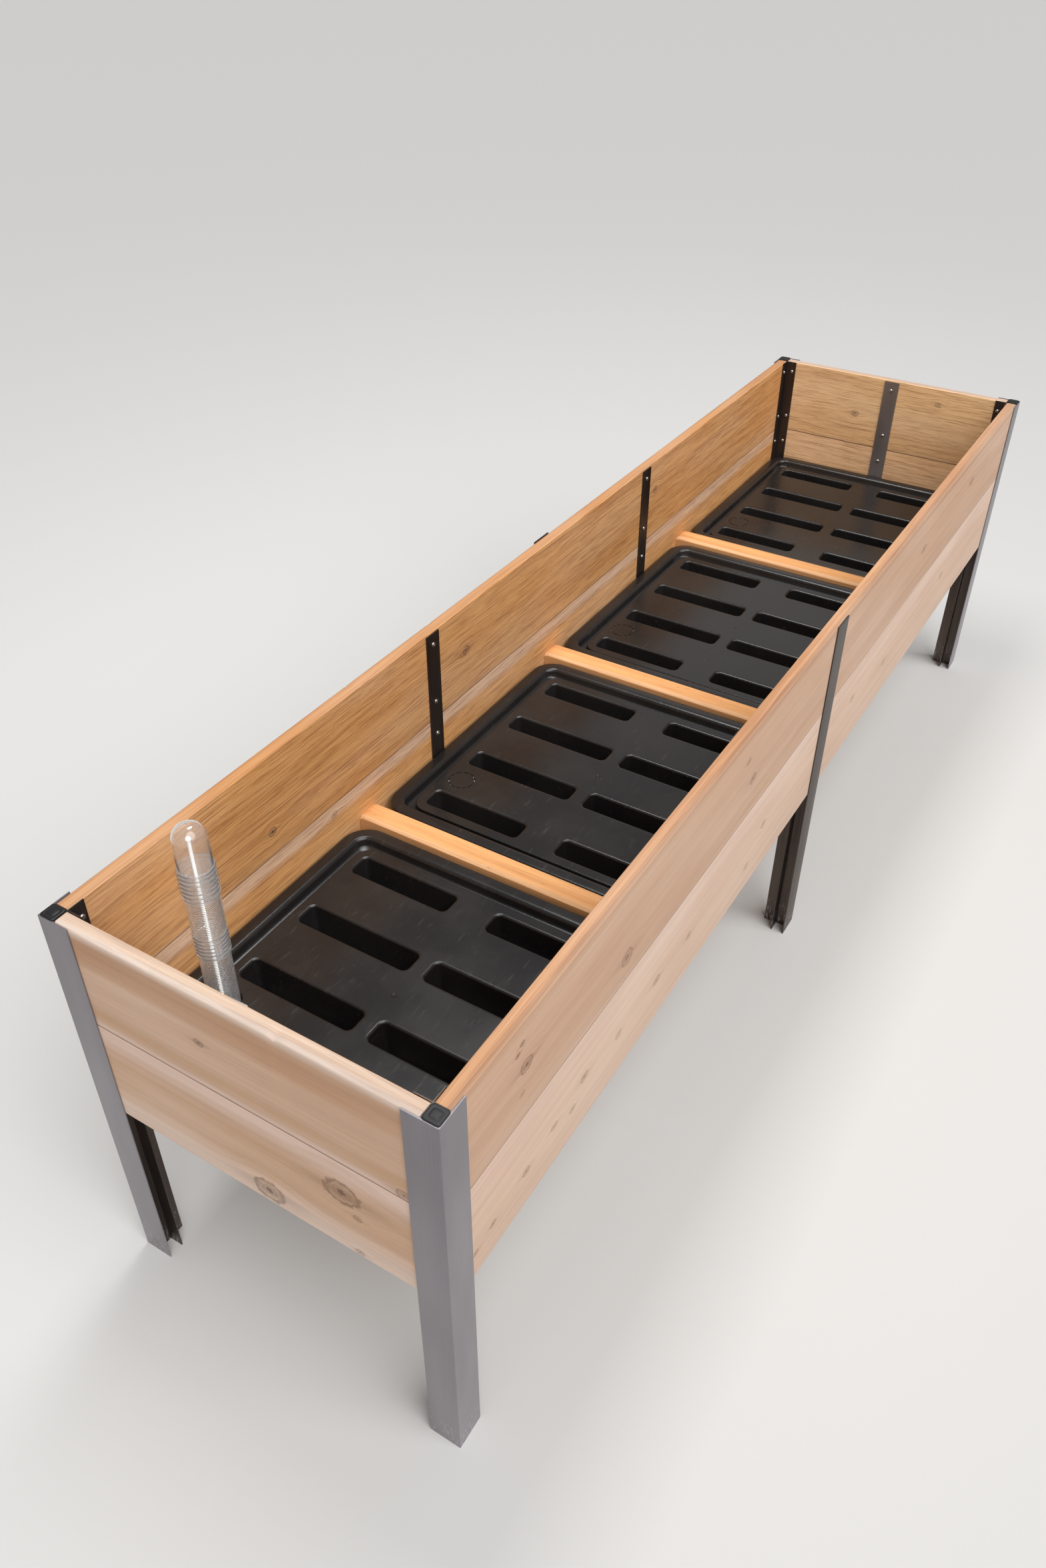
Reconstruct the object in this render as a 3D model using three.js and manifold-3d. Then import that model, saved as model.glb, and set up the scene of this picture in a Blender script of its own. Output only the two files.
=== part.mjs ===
// Raised planter on legs: a 4:1 cedar box carried by six aluminium legs, with four self-watering
// inserts between three cross joists, and a clear fill tube standing in the first insert, with
// a white rod in it that floats up and shows the water level.
// Millimetres. +Z up, +X along the length, origin on the ground under the middle of the box.
// "front" is the -Y long side, "left" is the -X end.

import * as THREE from 'three';
import { mergeVertices } from 'three/addons/utils/BufferGeometryUtils.js';
import Module from 'manifold-3d';

const wasm = await Module();
wasm.setup();

// ---------------------------------------------------------------- driving dimensions

const LENGTH = 2438;          // over the legs
const WIDTH = 607;            // over the legs
const HEIGHT = 728;           // top of the legs and of the boards
const BOX_BOTTOM = 365;       // underside of the lower boards
const BOARD_JOINT = 552;      // where the two boards of a wall meet
const GAP = 0.3;              // left between pieces that touch

const BOARD_THICKNESS = 22;
const BOARD_EASE = 1.5;       // chamfer along the long edges of a board
const TONGUE_WIDTH = 7;
const TONGUE_HEIGHT = 8;

const SHEET = 2;              // aluminium wall thickness
const CHANNEL_PLAY = 0.4;     // each side of a board inside a leg's channel
const LEG_FACE = 51;          // width of a leg's outer plate
const CHAMBER = 2 * SHEET + 2 * CHANNEL_PLAY + BOARD_THICKNESS;   // outer size of a leg's hollow corner

const CAP_INSET = 1.4;        // cap head, in from the leg's outer faces
const CAP_RISE = 2.6;
const CAP_PLUG = 16;          // depth of the cap's plug in the chamber
const CAP_CORNER = 4;
const CAP_EASE = 1.2;         // chamfer round the top of the cap

const STRAP_WIDTH = 36;
const STRAP_BOTTOM = 392;
const STRAP_TOP = HEIGHT - 3;
const WALL_STRAP_X = 400;     // straps of the long walls, either side of the middle
const SCREW_HEIGHTS = [402, 520, 588, 704];
const SCREW_RADIUS = 4.4;
const SCREW_RISE = 2.4;
const FLANGE_SCREW = 9;       // from the end of a leg's inner flange

const BAYS = 4;
const JOIST_WIDTH = 44;
const JOIST_TOP = 490;
const JOIST_EASE = 6;

const RAIL_LEG = 25;          // horizontal leg of a support rail
const RAIL_RISE = 20;         // vertical leg of a support rail
const SLAT_WIDTH = 89;
const SLAT_THICKNESS = 22;
const SLAT_OFFSET = 140;      // slats either side of a bay's middle

const TRAY_X = 276.5;         // half length of an insert's rim
const TRAY_Y = 273.5;         // half width of an insert's rim
const TRAY_CORNER = 45;
const TRAY_WALL = 3;
const RIM_TOP = 480;
const RIM_EDGE = 4;           // radius of the rim's outer edge
const RIM_LAND = 17;          // where the rim's flat top ends, in from its outer edge
const RIM_SHOULDER = 8;       // radius from the flat top down to the inner wall
const RIM_FOOT = 27;          // foot of the inner wall, in from the outer edge
const SKIRT_BOTTOM = 452;
const LEDGE_TOP = 463;        // ledge inside the rim that carries the deck
const LEDGE_INSET = 46;
const PAN_DRAFT = 4;          // how far the pan's walls lean in

const DECK_TOP = 470;
const DECK_INSET = 36;        // deck edge, in from the rim's outer edge
const DECK_PLATE = 3;
const DECK_EDGE = 1.2;        // chamfer round the deck

const WELL_ROWS = [200, 67, -67, -200];
const WELL_OUTER_Y = 220;     // the end of every well that is next to the rim
const WELL_INNER_Y = [37, 15, 15, 37];
const WELL_WIDTH = 40;
const WELL_FLOOR = 400;
const WELL_WALL = 2.5;
const WELL_DRAFT = 3;
const WELL_CORNER = 9;
const WICK_LENGTH = 110;      // opening in a well's floor
const WICK_WIDTH = 10;

const FILL_X = -136;          // fill hole, from the middle of an insert
const FILL_Y = 200;
const FILL_RADIUS = 24;
const RING_WIDTH = 2;         // groove round a closed fill hole
const RING_DEPTH = 0.8;

const TUBE_BOTTOM = 397;
const LOWER_RADIUS = 22.3;
const LOWER_TOP = 612;
const UPPER_BOTTOM = 573;
const UPPER_RADIUS = 23.9;
const UPPER_TOP = 730;
const CAP_BOTTOM = 680;
const CAP_RADIUS = 24;
const CAP_TOP = 800;
const TUBE_WALL = 1.6;
const COLLAR_RISE = 1.5;      // how far a ribbed collar stands out
const COLLAR_RIBS = 5;
const COLLAR_LAP = 2;         // how far a collar runs on past the end of the tube inside it
const UPPER_STEP = 0.6;       // the upper tube's wall is this much thicker above its socket
const SKIRT_WALL = 0.8;       // wall of the cap's socket

const ROD_OFFSET = 3;         // level rod, from the tube's axis towards the back
const ROD_RADIUS = 2.5;
const ROD_TOP = 777;
const KNOB_RADIUS = 3.8;
const FLOAT_RADIUS = 13;
const FLOAT_BOTTOM = 402;
const FLOAT_TOP = 418;

const TURNED_SIDES = 20;      // flats round a turned piece
const LEAST_CORNER = 4;       // smallest corner radius inside an insert
const OVERLAP = 1;            // how far a cutter or a joined solid runs past a face

// ---------------------------------------------------------------- worked out from them

const INNER_X = LENGTH / 2 - SHEET - CHANNEL_PLAY - BOARD_THICKNESS;   // inner face of the end walls
const INNER_Y = WIDTH / 2 - SHEET - CHANNEL_PLAY - BOARD_THICKNESS;    // inner face of the long walls
const BAY_LENGTH = (2 * INNER_X - (BAYS - 1) * JOIST_WIDTH) / BAYS;
const BAY_PITCH = BAY_LENGTH + JOIST_WIDTH;
const SLAT_BOTTOM = BOX_BOTTOM + SHEET + GAP;
const PAN_BOTTOM = SLAT_BOTTOM + SLAT_THICKNESS + GAP;
const RAIL_FACE = INNER_Y - GAP - SHEET;                               // inner face of a rail

const bayMiddle = (bay) => -INNER_X + BAY_LENGTH / 2 + bay * BAY_PITCH;

// ---------------------------------------------------------------- materials

function makeMaterial(color, roughness, metalness) {
  return new THREE.MeshStandardMaterial({ color, roughness, metalness });
}

const cedarOutside = makeMaterial(0xcfae92, 0.75, 0);
const cedarInside = makeMaterial(0xd9a066, 0.72, 0);
const aluminium = makeMaterial(0x807b80, 0.38, 1);
const strapSteel = makeMaterial(0x5c5855, 0.4, 1);
const blackPlastic = makeMaterial(0x262423, 0.42, 0);
const capPlastic = makeMaterial(0x151515, 0.5, 0);
const clearPlastic = makeMaterial(0xe8eef0, 0.08, 0);
clearPlastic.transparent = true;
clearPlastic.opacity = 0.35;
const whitePlastic = makeMaterial(0xf2f0ea, 0.35, 0);

// ---------------------------------------------------------------- helpers

function toSolid(geometry) {
  const bare = geometry.clone();
  bare.deleteAttribute('normal');
  bare.deleteAttribute('uv');
  const merged = mergeVertices(bare, 1e-4);
  const mesh = new wasm.Mesh({
    numProp: 3,
    vertProperties: new Float32Array(merged.attributes.position.array),
    triVerts: new Uint32Array(merged.index.array),
  });
  return new wasm.Manifold(mesh);
}

function toGeometry(solid) {
  const mesh = solid.getMesh();
  const geometry = new THREE.BufferGeometry();
  geometry.setAttribute('position', new THREE.BufferAttribute(new Float32Array(mesh.vertProperties), 3));
  geometry.setIndex(new THREE.BufferAttribute(new Uint32Array(mesh.triVerts), 1));
  geometry.computeVertexNormals();
  return geometry;
}

// A box between two opposite corners.
function boxGeometry(x0, x1, y0, y1, z0, z1) {
  const box = new THREE.BoxGeometry(x1 - x0, y1 - y0, z1 - z0);
  box.translate((x0 + x1) / 2, (y0 + y1) / 2, (z0 + z1) / 2);
  return box;
}

function polygon(points) {
  return new THREE.Shape(points.map(([x, y]) => new THREE.Vector2(x, y)));
}

// An outline in the X-Y plane, pushed up from z0 to z1.
function extrudeUp(shape, z0, z1) {
  const geometry = new THREE.ExtrudeGeometry(shape, { depth: z1 - z0, bevelEnabled: false });
  geometry.translate(0, 0, z0);
  return geometry;
}

// An outline in the X-Z plane, pushed along Y over the given length, centred.
function extrudeAlongY(shape, length) {
  const geometry = new THREE.ExtrudeGeometry(shape, { depth: length, bevelEnabled: false });
  geometry.rotateX(Math.PI / 2);
  geometry.translate(0, length / 2, 0);
  return geometry;
}

function roundedRectangle(halfX, halfY, radius, segments) {
  const shape = new THREE.Shape();
  const corners = [[1, 1, 0], [-1, 1, 1], [-1, -1, 2], [1, -1, 3]];
  for (const [sx, sy, quarter] of corners) {
    const start = quarter * Math.PI / 2;
    shape.absarc(sx * (halfX - radius), sy * (halfY - radius), radius, start, start + Math.PI / 2, false);
  }
  const points = shape.getPoints(segments);
  return points.filter((point, i) => point.distanceTo(points[(i + 1) % points.length]) > 1e-6);
}

// A closed skin through rounded rectangles that follow a profile of [inset, z] steps. The first
// and the last rectangle are filled in, so the profile runs from one flat end round to the other.
function loftRectangles(halfX, halfY, radius, profile, segments) {
  const loops = profile.map(([inset, z]) => {
    const corner = Math.max(radius - inset, LEAST_CORNER);
    const loop = roundedRectangle(halfX - inset, halfY - inset, corner, segments);
    return loop.map((point) => [point.x, point.y, z]);
  });
  const count = loops[0].length;
  const positions = loops.flat(2);
  const index = [];
  for (let ring = 0; ring + 1 < loops.length; ring += 1) {
    for (let i = 0; i < count; i += 1) {
      const a = ring * count + i;
      const b = ring * count + (i + 1) % count;
      index.push(a, b, b + count, a, b + count, a + count);
    }
  }
  const lastRing = (loops.length - 1) * count;
  for (let i = 1; i + 1 < count; i += 1) {
    index.push(0, i + 1, i);
    index.push(lastRing, lastRing + i, lastRing + i + 1);
  }
  const geometry = new THREE.BufferGeometry();
  geometry.setAttribute('position', new THREE.Float32BufferAttribute(positions, 3));
  geometry.setIndex(index);
  geometry.computeVertexNormals();
  return geometry;
}

// Points of an arc in a profile, angles in degrees.
function arcPoints(centreX, centreZ, radius, from, to, steps) {
  const points = [];
  for (let i = 0; i <= steps; i += 1) {
    const angle = THREE.MathUtils.degToRad(from + (to - from) * i / steps);
    points.push([centreX + radius * Math.cos(angle), centreZ + radius * Math.sin(angle)]);
  }
  return points;
}

const planter = new THREE.Group();

function place(name, geometry, material, x = 0, y = 0, z = 0, turn = 0) {
  const mesh = new THREE.Mesh(geometry, material);
  mesh.name = name;
  mesh.position.set(x, y, z);
  mesh.rotation.z = turn;
  planter.add(mesh);
}

// ---------------------------------------------------------------- fasteners

// A pan head whose back is at y = 0 and whose dome points to +Y. Each head is one body with the
// flange or strap that it holds down.
function panHead(x, z) {
  const crown = SCREW_RADIUS * 0.75;
  const profile = [[0, -OVERLAP], [SCREW_RADIUS, -OVERLAP], [crown, SCREW_RISE], [0, SCREW_RISE]];
  const head = new THREE.LatheGeometry(profile.map(([r, h]) => new THREE.Vector2(r, h)), 8);
  head.translate(x, 0, z);
  return head;
}

// ---------------------------------------------------------------- boards

// A board standing on edge, its length along X and its thickness centred on y = 0.
function boardGeometry(length, z0, z1, tongueOnTop) {
  const half = BOARD_THICKNESS / 2;
  const tongue = TONGUE_WIDTH / 2;
  const groove = tongue + GAP;
  const grooveTop = z0 + TONGUE_HEIGHT + GAP;
  const lowerEdge = tongueOnTop
    ? [[half - BOARD_EASE, z0]]
    : [[-groove, z0], [-groove, grooveTop], [groove, grooveTop], [groove, z0], [half - BOARD_EASE, z0]];
  const upperEdge = tongueOnTop
    ? [[tongue, z1], [tongue, z1 + TONGUE_HEIGHT], [-tongue, z1 + TONGUE_HEIGHT], [-tongue, z1]]
    : [];
  const outline = [
    [-half, z0 + BOARD_EASE], [-half + BOARD_EASE, z0],
    ...lowerEdge,
    [half, z0 + BOARD_EASE], [half, z1 - BOARD_EASE], [half - BOARD_EASE, z1],
    ...upperEdge,
    [-half + BOARD_EASE, z1], [-half, z1 - BOARD_EASE],
  ];
  const board = extrudeAlongY(polygon(outline), length);
  board.rotateZ(Math.PI / 2);
  return board;
}

function addBoards() {
  const endPlay = CHAMBER + GAP;
  const wallY = INNER_Y + BOARD_THICKNESS / 2;
  const wallX = INNER_X + BOARD_THICKNESS / 2;
  const walls = [
    ['front', LENGTH - 2 * endPlay, 0, -wallY, 0],
    ['back', LENGTH - 2 * endPlay, 0, wallY, 0],
    ['left', WIDTH - 2 * endPlay, -wallX, 0, Math.PI / 2],
    ['right', WIDTH - 2 * endPlay, wallX, 0, Math.PI / 2],
  ];
  for (const [side, length, x, y, turn] of walls) {
    const lower = boardGeometry(length, BOX_BOTTOM, BOARD_JOINT - GAP / 2, true);
    const upper = boardGeometry(length, BOARD_JOINT + GAP / 2, HEIGHT, false);
    place(`${side}_lower_board`, lower, cedarOutside, x, y, 0, turn);
    place(`${side}_upper_board`, upper, cedarOutside, x, y, 0, turn);
  }
}

// ---------------------------------------------------------------- legs

// Corner extrusion with its outer corner at the origin and its plates along +X and +Y: two
// plates, a square hollow corner, and two inner flanges that make a channel for each wall.
function cornerLegGeometry() {
  const inner = CHAMBER - SHEET;
  const section = polygon([
    [0, 0], [LEG_FACE, 0], [LEG_FACE, SHEET], [CHAMBER, SHEET], [CHAMBER, inner],
    [LEG_FACE, inner], [LEG_FACE, CHAMBER], [CHAMBER, CHAMBER], [CHAMBER, LEG_FACE],
    [inner, LEG_FACE], [inner, CHAMBER], [SHEET, CHAMBER], [SHEET, LEG_FACE], [0, LEG_FACE],
  ]);
  section.holes.push(polygon([[SHEET, SHEET], [inner, SHEET], [inner, inner], [SHEET, inner]]));
  let leg = toSolid(extrudeUp(section, 0, HEIGHT));
  for (const z of SCREW_HEIGHTS) {
    const alongX = panHead(LEG_FACE - FLANGE_SCREW, z);
    alongX.translate(0, CHAMBER, 0);
    const alongY = panHead(-(LEG_FACE - FLANGE_SCREW), z);
    alongY.rotateZ(-Math.PI / 2);
    alongY.translate(CHAMBER, 0, 0);
    leg = leg.add(toSolid(alongX)).add(toSolid(alongY));
  }
  return toGeometry(leg);
}

// Middle extrusion: its outer plate runs up the wall; the web and the two inner flanges stop
// under the box and carry it. The outer face is at y = 0 and the web points to +Y.
function middleLegGeometry() {
  const half = LEG_FACE / 2;
  const inner = CHAMBER - SHEET;
  const web = SHEET / 2;
  const section = polygon([
    [-half, 0], [half, 0], [half, SHEET], [web, SHEET], [web, inner], [half, inner], [half, CHAMBER],
    [web, CHAMBER], [web, LEG_FACE], [-web, LEG_FACE], [-web, CHAMBER], [-half, CHAMBER],
    [-half, inner], [-web, inner], [-web, SHEET], [-half, SHEET],
  ]);
  const foot = toSolid(extrudeUp(section, 0, BOX_BOTTOM - GAP));
  const plate = toSolid(boxGeometry(-half, half, 0, SHEET, 0, HEIGHT));
  return toGeometry(foot.add(plate));
}

// Square cap that plugs the hollow corner, in the corner leg's own place.
function legCapGeometry() {
  const middle = CHAMBER / 2;
  const plugHalf = CHAMBER / 2 - SHEET - GAP;
  const headHalf = CHAMBER / 2 - CAP_INSET;
  const profile = [
    [headHalf - plugHalf, HEIGHT - CAP_PLUG],
    [headHalf - plugHalf, HEIGHT + GAP],
    [0, HEIGHT + GAP],
    [0, HEIGHT + CAP_RISE - CAP_EASE],
    [CAP_EASE, HEIGHT + CAP_RISE],
  ];
  const cap = loftRectangles(headHalf, headHalf, CAP_CORNER, profile, 1);
  cap.translate(middle, middle, 0);
  return cap;
}

function addLegs() {
  const corners = [
    ['front_left', -1, -1, 0],
    ['front_right', 1, -1, Math.PI / 2],
    ['back_right', 1, 1, Math.PI],
    ['back_left', -1, 1, -Math.PI / 2],
  ];
  for (const [corner, sx, sy, turn] of corners) {
    place(`corner_leg_${corner}`, cornerLegGeometry(), aluminium, sx * LENGTH / 2, sy * WIDTH / 2, 0, turn);
    place(`leg_cap_${corner}`, legCapGeometry(), capPlastic, sx * LENGTH / 2, sy * WIDTH / 2, 0, turn);
  }
  place('middle_leg_front', middleLegGeometry(), aluminium, 0, -WIDTH / 2, 0, 0);
  place('middle_leg_back', middleLegGeometry(), aluminium, 0, WIDTH / 2, 0, Math.PI);
}

// ---------------------------------------------------------------- straps

// Flat strap with its back at y = 0, screwed to a wall's inner face and tying its two boards.
function strapGeometry() {
  const half = STRAP_WIDTH / 2;
  let strap = toSolid(boxGeometry(-half, half, 0, SHEET, STRAP_BOTTOM, STRAP_TOP));
  for (const z of SCREW_HEIGHTS) {
    const head = panHead(0, z);
    head.translate(0, SHEET, 0);
    strap = strap.add(toSolid(head));
  }
  return toGeometry(strap);
}

function addStraps() {
  const y = INNER_Y - GAP;
  const x = INNER_X - GAP;
  place('wall_strap_front_left', strapGeometry(), strapSteel, -WALL_STRAP_X, -y, 0, 0);
  place('wall_strap_front_right', strapGeometry(), strapSteel, WALL_STRAP_X, -y, 0, 0);
  place('wall_strap_back_left', strapGeometry(), strapSteel, -WALL_STRAP_X, y, 0, Math.PI);
  place('wall_strap_back_right', strapGeometry(), strapSteel, WALL_STRAP_X, y, 0, Math.PI);
  place('end_strap_left', strapGeometry(), strapSteel, -x, 0, 0, -Math.PI / 2);
  place('end_strap_right', strapGeometry(), strapSteel, x, 0, 0, Math.PI / 2);
}

// ---------------------------------------------------------------- supports under the inserts

// Angle rail along the foot of a long wall: vertical leg on the wall, horizontal leg inwards.
function addRails() {
  const length = LENGTH - 2 * LEG_FACE - 2 * GAP;
  const outline = polygon([
    [0, BOX_BOTTOM], [RAIL_LEG, BOX_BOTTOM], [RAIL_LEG, BOX_BOTTOM + SHEET],
    [SHEET, BOX_BOTTOM + SHEET], [SHEET, BOX_BOTTOM + RAIL_RISE], [0, BOX_BOTTOM + RAIL_RISE],
  ]);
  for (const [side, sign] of [['front', -1], ['back', 1]]) {
    const rail = extrudeAlongY(outline, length);
    rail.rotateZ(sign < 0 ? Math.PI / 2 : -Math.PI / 2);
    place(`support_rail_${side}`, rail, aluminium, 0, sign * (INNER_Y - GAP), 0, 0);
  }
}

// Joist across the box, standing on the rails; notched at its ends to pass their upright legs.
function joistGeometry() {
  const half = JOIST_WIDTH / 2;
  const length = 2 * (INNER_Y - GAP);
  const outline = polygon([
    [-half, SLAT_BOTTOM], [half, SLAT_BOTTOM],
    [half, JOIST_TOP - JOIST_EASE], [half - JOIST_EASE, JOIST_TOP],
    [-half + JOIST_EASE, JOIST_TOP], [-half, JOIST_TOP - JOIST_EASE],
  ]);
  let joist = toSolid(extrudeAlongY(outline, length));
  for (const sign of [-1, 1]) {
    const [y0, y1] = [sign * (RAIL_FACE - GAP), sign * INNER_Y].sort((a, b) => a - b);
    const notch = boxGeometry(-JOIST_WIDTH, JOIST_WIDTH, y0, y1, BOX_BOTTOM, BOX_BOTTOM + RAIL_RISE + GAP);
    joist = joist.subtract(toSolid(notch));
  }
  return toGeometry(joist);
}

function addSupports() {
  addRails();
  for (let i = 1; i < BAYS; i += 1) {
    const x = bayMiddle(i) - BAY_PITCH / 2;
    place(`cross_joist_${i}`, joistGeometry(), cedarInside, x, 0, 0);
  }
  for (let i = 0; i < 2 * BAYS; i += 1) {
    const side = i % 2 === 0 ? -1 : 1;
    const x = bayMiddle(Math.floor(i / 2)) + side * SLAT_OFFSET;
    const slat = new THREE.BoxGeometry(SLAT_WIDTH, 2 * (RAIL_FACE - GAP), SLAT_THICKNESS);
    place(`floor_slat_${i + 1}`, slat, cedarInside, x, 0, SLAT_BOTTOM + SLAT_THICKNESS / 2);
  }
}

// ---------------------------------------------------------------- self-watering inserts

// Reservoir pan: one moulded skin from the outside of its floor, up the wall, under and over
// the rim, along the ledge that carries the deck, and down to the inside of the floor.
function panGeometry() {
  const floorInset = LEDGE_INSET + PAN_DRAFT;
  const shoulderZ = RIM_TOP - RIM_SHOULDER;
  const profile = [
    [floorInset - TRAY_WALL, PAN_BOTTOM],
    [LEDGE_INSET - TRAY_WALL, LEDGE_TOP - TRAY_WALL],
    [RIM_FOOT - TRAY_WALL, LEDGE_TOP - TRAY_WALL],
    ...arcPoints(RIM_LAND, shoulderZ, RIM_SHOULDER - TRAY_WALL, 0, 90, 2),
    [TRAY_WALL, RIM_TOP - TRAY_WALL],
    [TRAY_WALL, SKIRT_BOTTOM],
    [0, SKIRT_BOTTOM],
    ...arcPoints(RIM_EDGE, RIM_TOP - RIM_EDGE, RIM_EDGE, 180, 90, 2),
    ...arcPoints(RIM_LAND, shoulderZ, RIM_SHOULDER, 90, 0, 3),
    [RIM_FOOT, LEDGE_TOP],
    [LEDGE_INSET, LEDGE_TOP],
    [floorInset, PAN_BOTTOM + TRAY_WALL],
  ];
  return loftRectangles(TRAY_X, TRAY_Y, TRAY_CORNER, profile, 2);
}

// A block or a cavity in the shape of a well, narrower at its foot.
function wellBlock(centreY, halfY, grow, z0, z1) {
  const halfX = WELL_WIDTH / 2 + grow;
  const profile = [[WELL_DRAFT, z0], [0, z1]];
  const block = loftRectangles(halfX, halfY + grow, WELL_CORNER + grow, profile, 1);
  block.translate(0, centreY, 0);
  return block;
}

// Deck that drops into the pan: a plate with a turned-down edge and eight wicking wells.
function deckGeometry(openFillHole) {
  const halfX = TRAY_X - DECK_INSET;
  const halfY = TRAY_Y - DECK_INSET;
  const corner = TRAY_CORNER - DECK_INSET / 2;
  const edge = [[0, LEDGE_TOP + GAP], [0, DECK_TOP - DECK_EDGE], [DECK_EDGE, DECK_TOP]];
  const underside = [[TRAY_WALL, LEDGE_TOP - OVERLAP], [TRAY_WALL, DECK_TOP - DECK_PLATE]];
  let deck = toSolid(loftRectangles(halfX, halfY, corner, edge, 2));
  deck = deck.subtract(toSolid(loftRectangles(halfX, halfY, corner, underside, 2)));
  WELL_ROWS.forEach((rowX, row) => {
    const halfLength = (WELL_OUTER_Y - WELL_INNER_Y[row]) / 2;
    for (const side of [-1, 1]) {
      const centreY = side * (WELL_OUTER_Y - halfLength);
      const outside = wellBlock(centreY, halfLength, WELL_WALL, WELL_FLOOR - WELL_WALL, DECK_TOP - OVERLAP);
      const inside = wellBlock(centreY, halfLength, 0, WELL_FLOOR, DECK_TOP + OVERLAP);
      const wick = boxGeometry(
        -WICK_WIDTH / 2, WICK_WIDTH / 2,
        centreY - WICK_LENGTH / 2, centreY + WICK_LENGTH / 2,
        WELL_FLOOR - WELL_WALL - OVERLAP, WELL_FLOOR + OVERLAP,
      );
      for (const part of [outside, inside, wick]) {
        part.translate(rowX, 0, 0);
      }
      deck = deck.add(toSolid(outside)).subtract(toSolid(inside)).subtract(toSolid(wick));
    }
  });
  deck = deck.subtract(toSolid(openFillHole ? fillHole() : fillRing()));
  return toGeometry(deck);
}

function fillHole() {
  const depth = 2 * (DECK_PLATE + OVERLAP);
  const hole = new THREE.CylinderGeometry(FILL_RADIUS, FILL_RADIUS, depth, TURNED_SIDES);
  hole.rotateX(Math.PI / 2);
  hole.translate(FILL_X, FILL_Y, DECK_TOP);
  return hole;
}

// Groove round the knock-out disc that closes an unused fill hole.
function fillRing() {
  const outer = FILL_RADIUS;
  const inner = FILL_RADIUS - RING_WIDTH;
  const profile = [
    [inner, -RING_DEPTH], [outer, -RING_DEPTH], [outer, OVERLAP], [inner, OVERLAP], [inner, -RING_DEPTH],
  ];
  const ring = new THREE.LatheGeometry(profile.map(([r, h]) => new THREE.Vector2(r, h)), TURNED_SIDES);
  ring.rotateX(Math.PI / 2);
  ring.translate(FILL_X, FILL_Y, DECK_TOP);
  return ring;
}

function addInserts() {
  for (let bay = 0; bay < BAYS; bay += 1) {
    const x = bayMiddle(bay);
    place(`reservoir_pan_${bay + 1}`, panGeometry(), blackPlastic, x, 0, 0);
    place(`wicking_deck_${bay + 1}`, deckGeometry(bay === 0), blackPlastic, x, 0, 0);
  }
}

// ---------------------------------------------------------------- fill tube

// A turned piece with its axis along Z from a closed profile of [radius, z].
function turned(profile) {
  const lathe = new THREE.LatheGeometry(profile.map(([r, z]) => new THREE.Vector2(r, z)), TURNED_SIDES);
  lathe.rotateX(Math.PI / 2);
  return lathe;
}

// The ribs of a collar, from z0 up to z1, as [radius, z].
function collarRibs(radius, z0, z1) {
  const pitch = (z1 - z0) / COLLAR_RIBS;
  const points = [];
  for (let rib = 0; rib < COLLAR_RIBS; rib += 1) {
    points.push([radius, z0 + rib * pitch + pitch * 0.15]);
    points.push([radius + COLLAR_RISE, z0 + rib * pitch + pitch * 0.5]);
  }
  points.push([radius, z1]);
  return points;
}

// Rod with a float at its foot and a round knob on top.
function levelRodGeometry() {
  return turned([
    [0, FLOAT_BOTTOM], [FLOAT_RADIUS, FLOAT_BOTTOM], [FLOAT_RADIUS, FLOAT_TOP], [ROD_RADIUS, FLOAT_TOP],
    ...arcPoints(0, ROD_TOP - KNOB_RADIUS, KNOB_RADIUS, -45, 90, 4).slice(0, -1), [0, ROD_TOP],
  ]);
}

function addFillTube() {
  const x = bayMiddle(0) + FILL_X;
  const lowerBore = LOWER_RADIUS - TUBE_WALL;
  const lower = turned([
    [lowerBore, TUBE_BOTTOM], [LOWER_RADIUS, TUBE_BOTTOM],
    [LOWER_RADIUS, LOWER_TOP], [lowerBore, LOWER_TOP], [lowerBore, TUBE_BOTTOM],
  ]);
  const upperBore = UPPER_RADIUS - TUBE_WALL - UPPER_STEP;
  const upperSocket = LOWER_RADIUS + GAP;
  const upper = turned([
    [upperSocket, UPPER_BOTTOM], [UPPER_RADIUS, UPPER_BOTTOM],
    ...collarRibs(UPPER_RADIUS, UPPER_BOTTOM, LOWER_TOP + COLLAR_LAP),
    [UPPER_RADIUS, UPPER_TOP], [upperBore, UPPER_TOP],
    [upperBore, LOWER_TOP + GAP], [upperSocket, LOWER_TOP + GAP], [upperSocket, UPPER_BOTTOM],
  ]);
  const capBore = CAP_RADIUS - TUBE_WALL;
  const capSocket = UPPER_RADIUS + GAP;
  const skirt = capSocket + SKIRT_WALL;
  const domeZ = CAP_TOP - CAP_RADIUS;
  const cap = turned([
    [capSocket, CAP_BOTTOM], [skirt, CAP_BOTTOM],
    ...collarRibs(skirt, CAP_BOTTOM, UPPER_TOP + COLLAR_LAP),
    ...arcPoints(0, domeZ, CAP_RADIUS, 0, 90, 4).slice(0, -1), [0, CAP_TOP],
    [0, CAP_TOP - TUBE_WALL], ...arcPoints(0, domeZ, capBore, 90, 0, 4).slice(1),
    [capBore, UPPER_TOP + GAP], [capSocket, UPPER_TOP + GAP], [capSocket, CAP_BOTTOM],
  ]);
  place('fill_tube_lower', lower, clearPlastic, x, FILL_Y, 0);
  place('fill_tube_upper', upper, clearPlastic, x, FILL_Y, 0);
  place('fill_tube_cap', cap, clearPlastic, x, FILL_Y, 0);
  place('level_rod', levelRodGeometry(), whitePlastic, x, FILL_Y + ROD_OFFSET, 0);
}

addBoards();
addLegs();
addStraps();
addSupports();
addInserts();
addFillTube();

export default planter;
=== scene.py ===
"""Looks of the raised planter on legs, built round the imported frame. Metres, +Z up, X along the length.
"Outside" is the face of a board that looks away from the soil; "front" is -Y and "left" is -X."""
import math
import random

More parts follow.
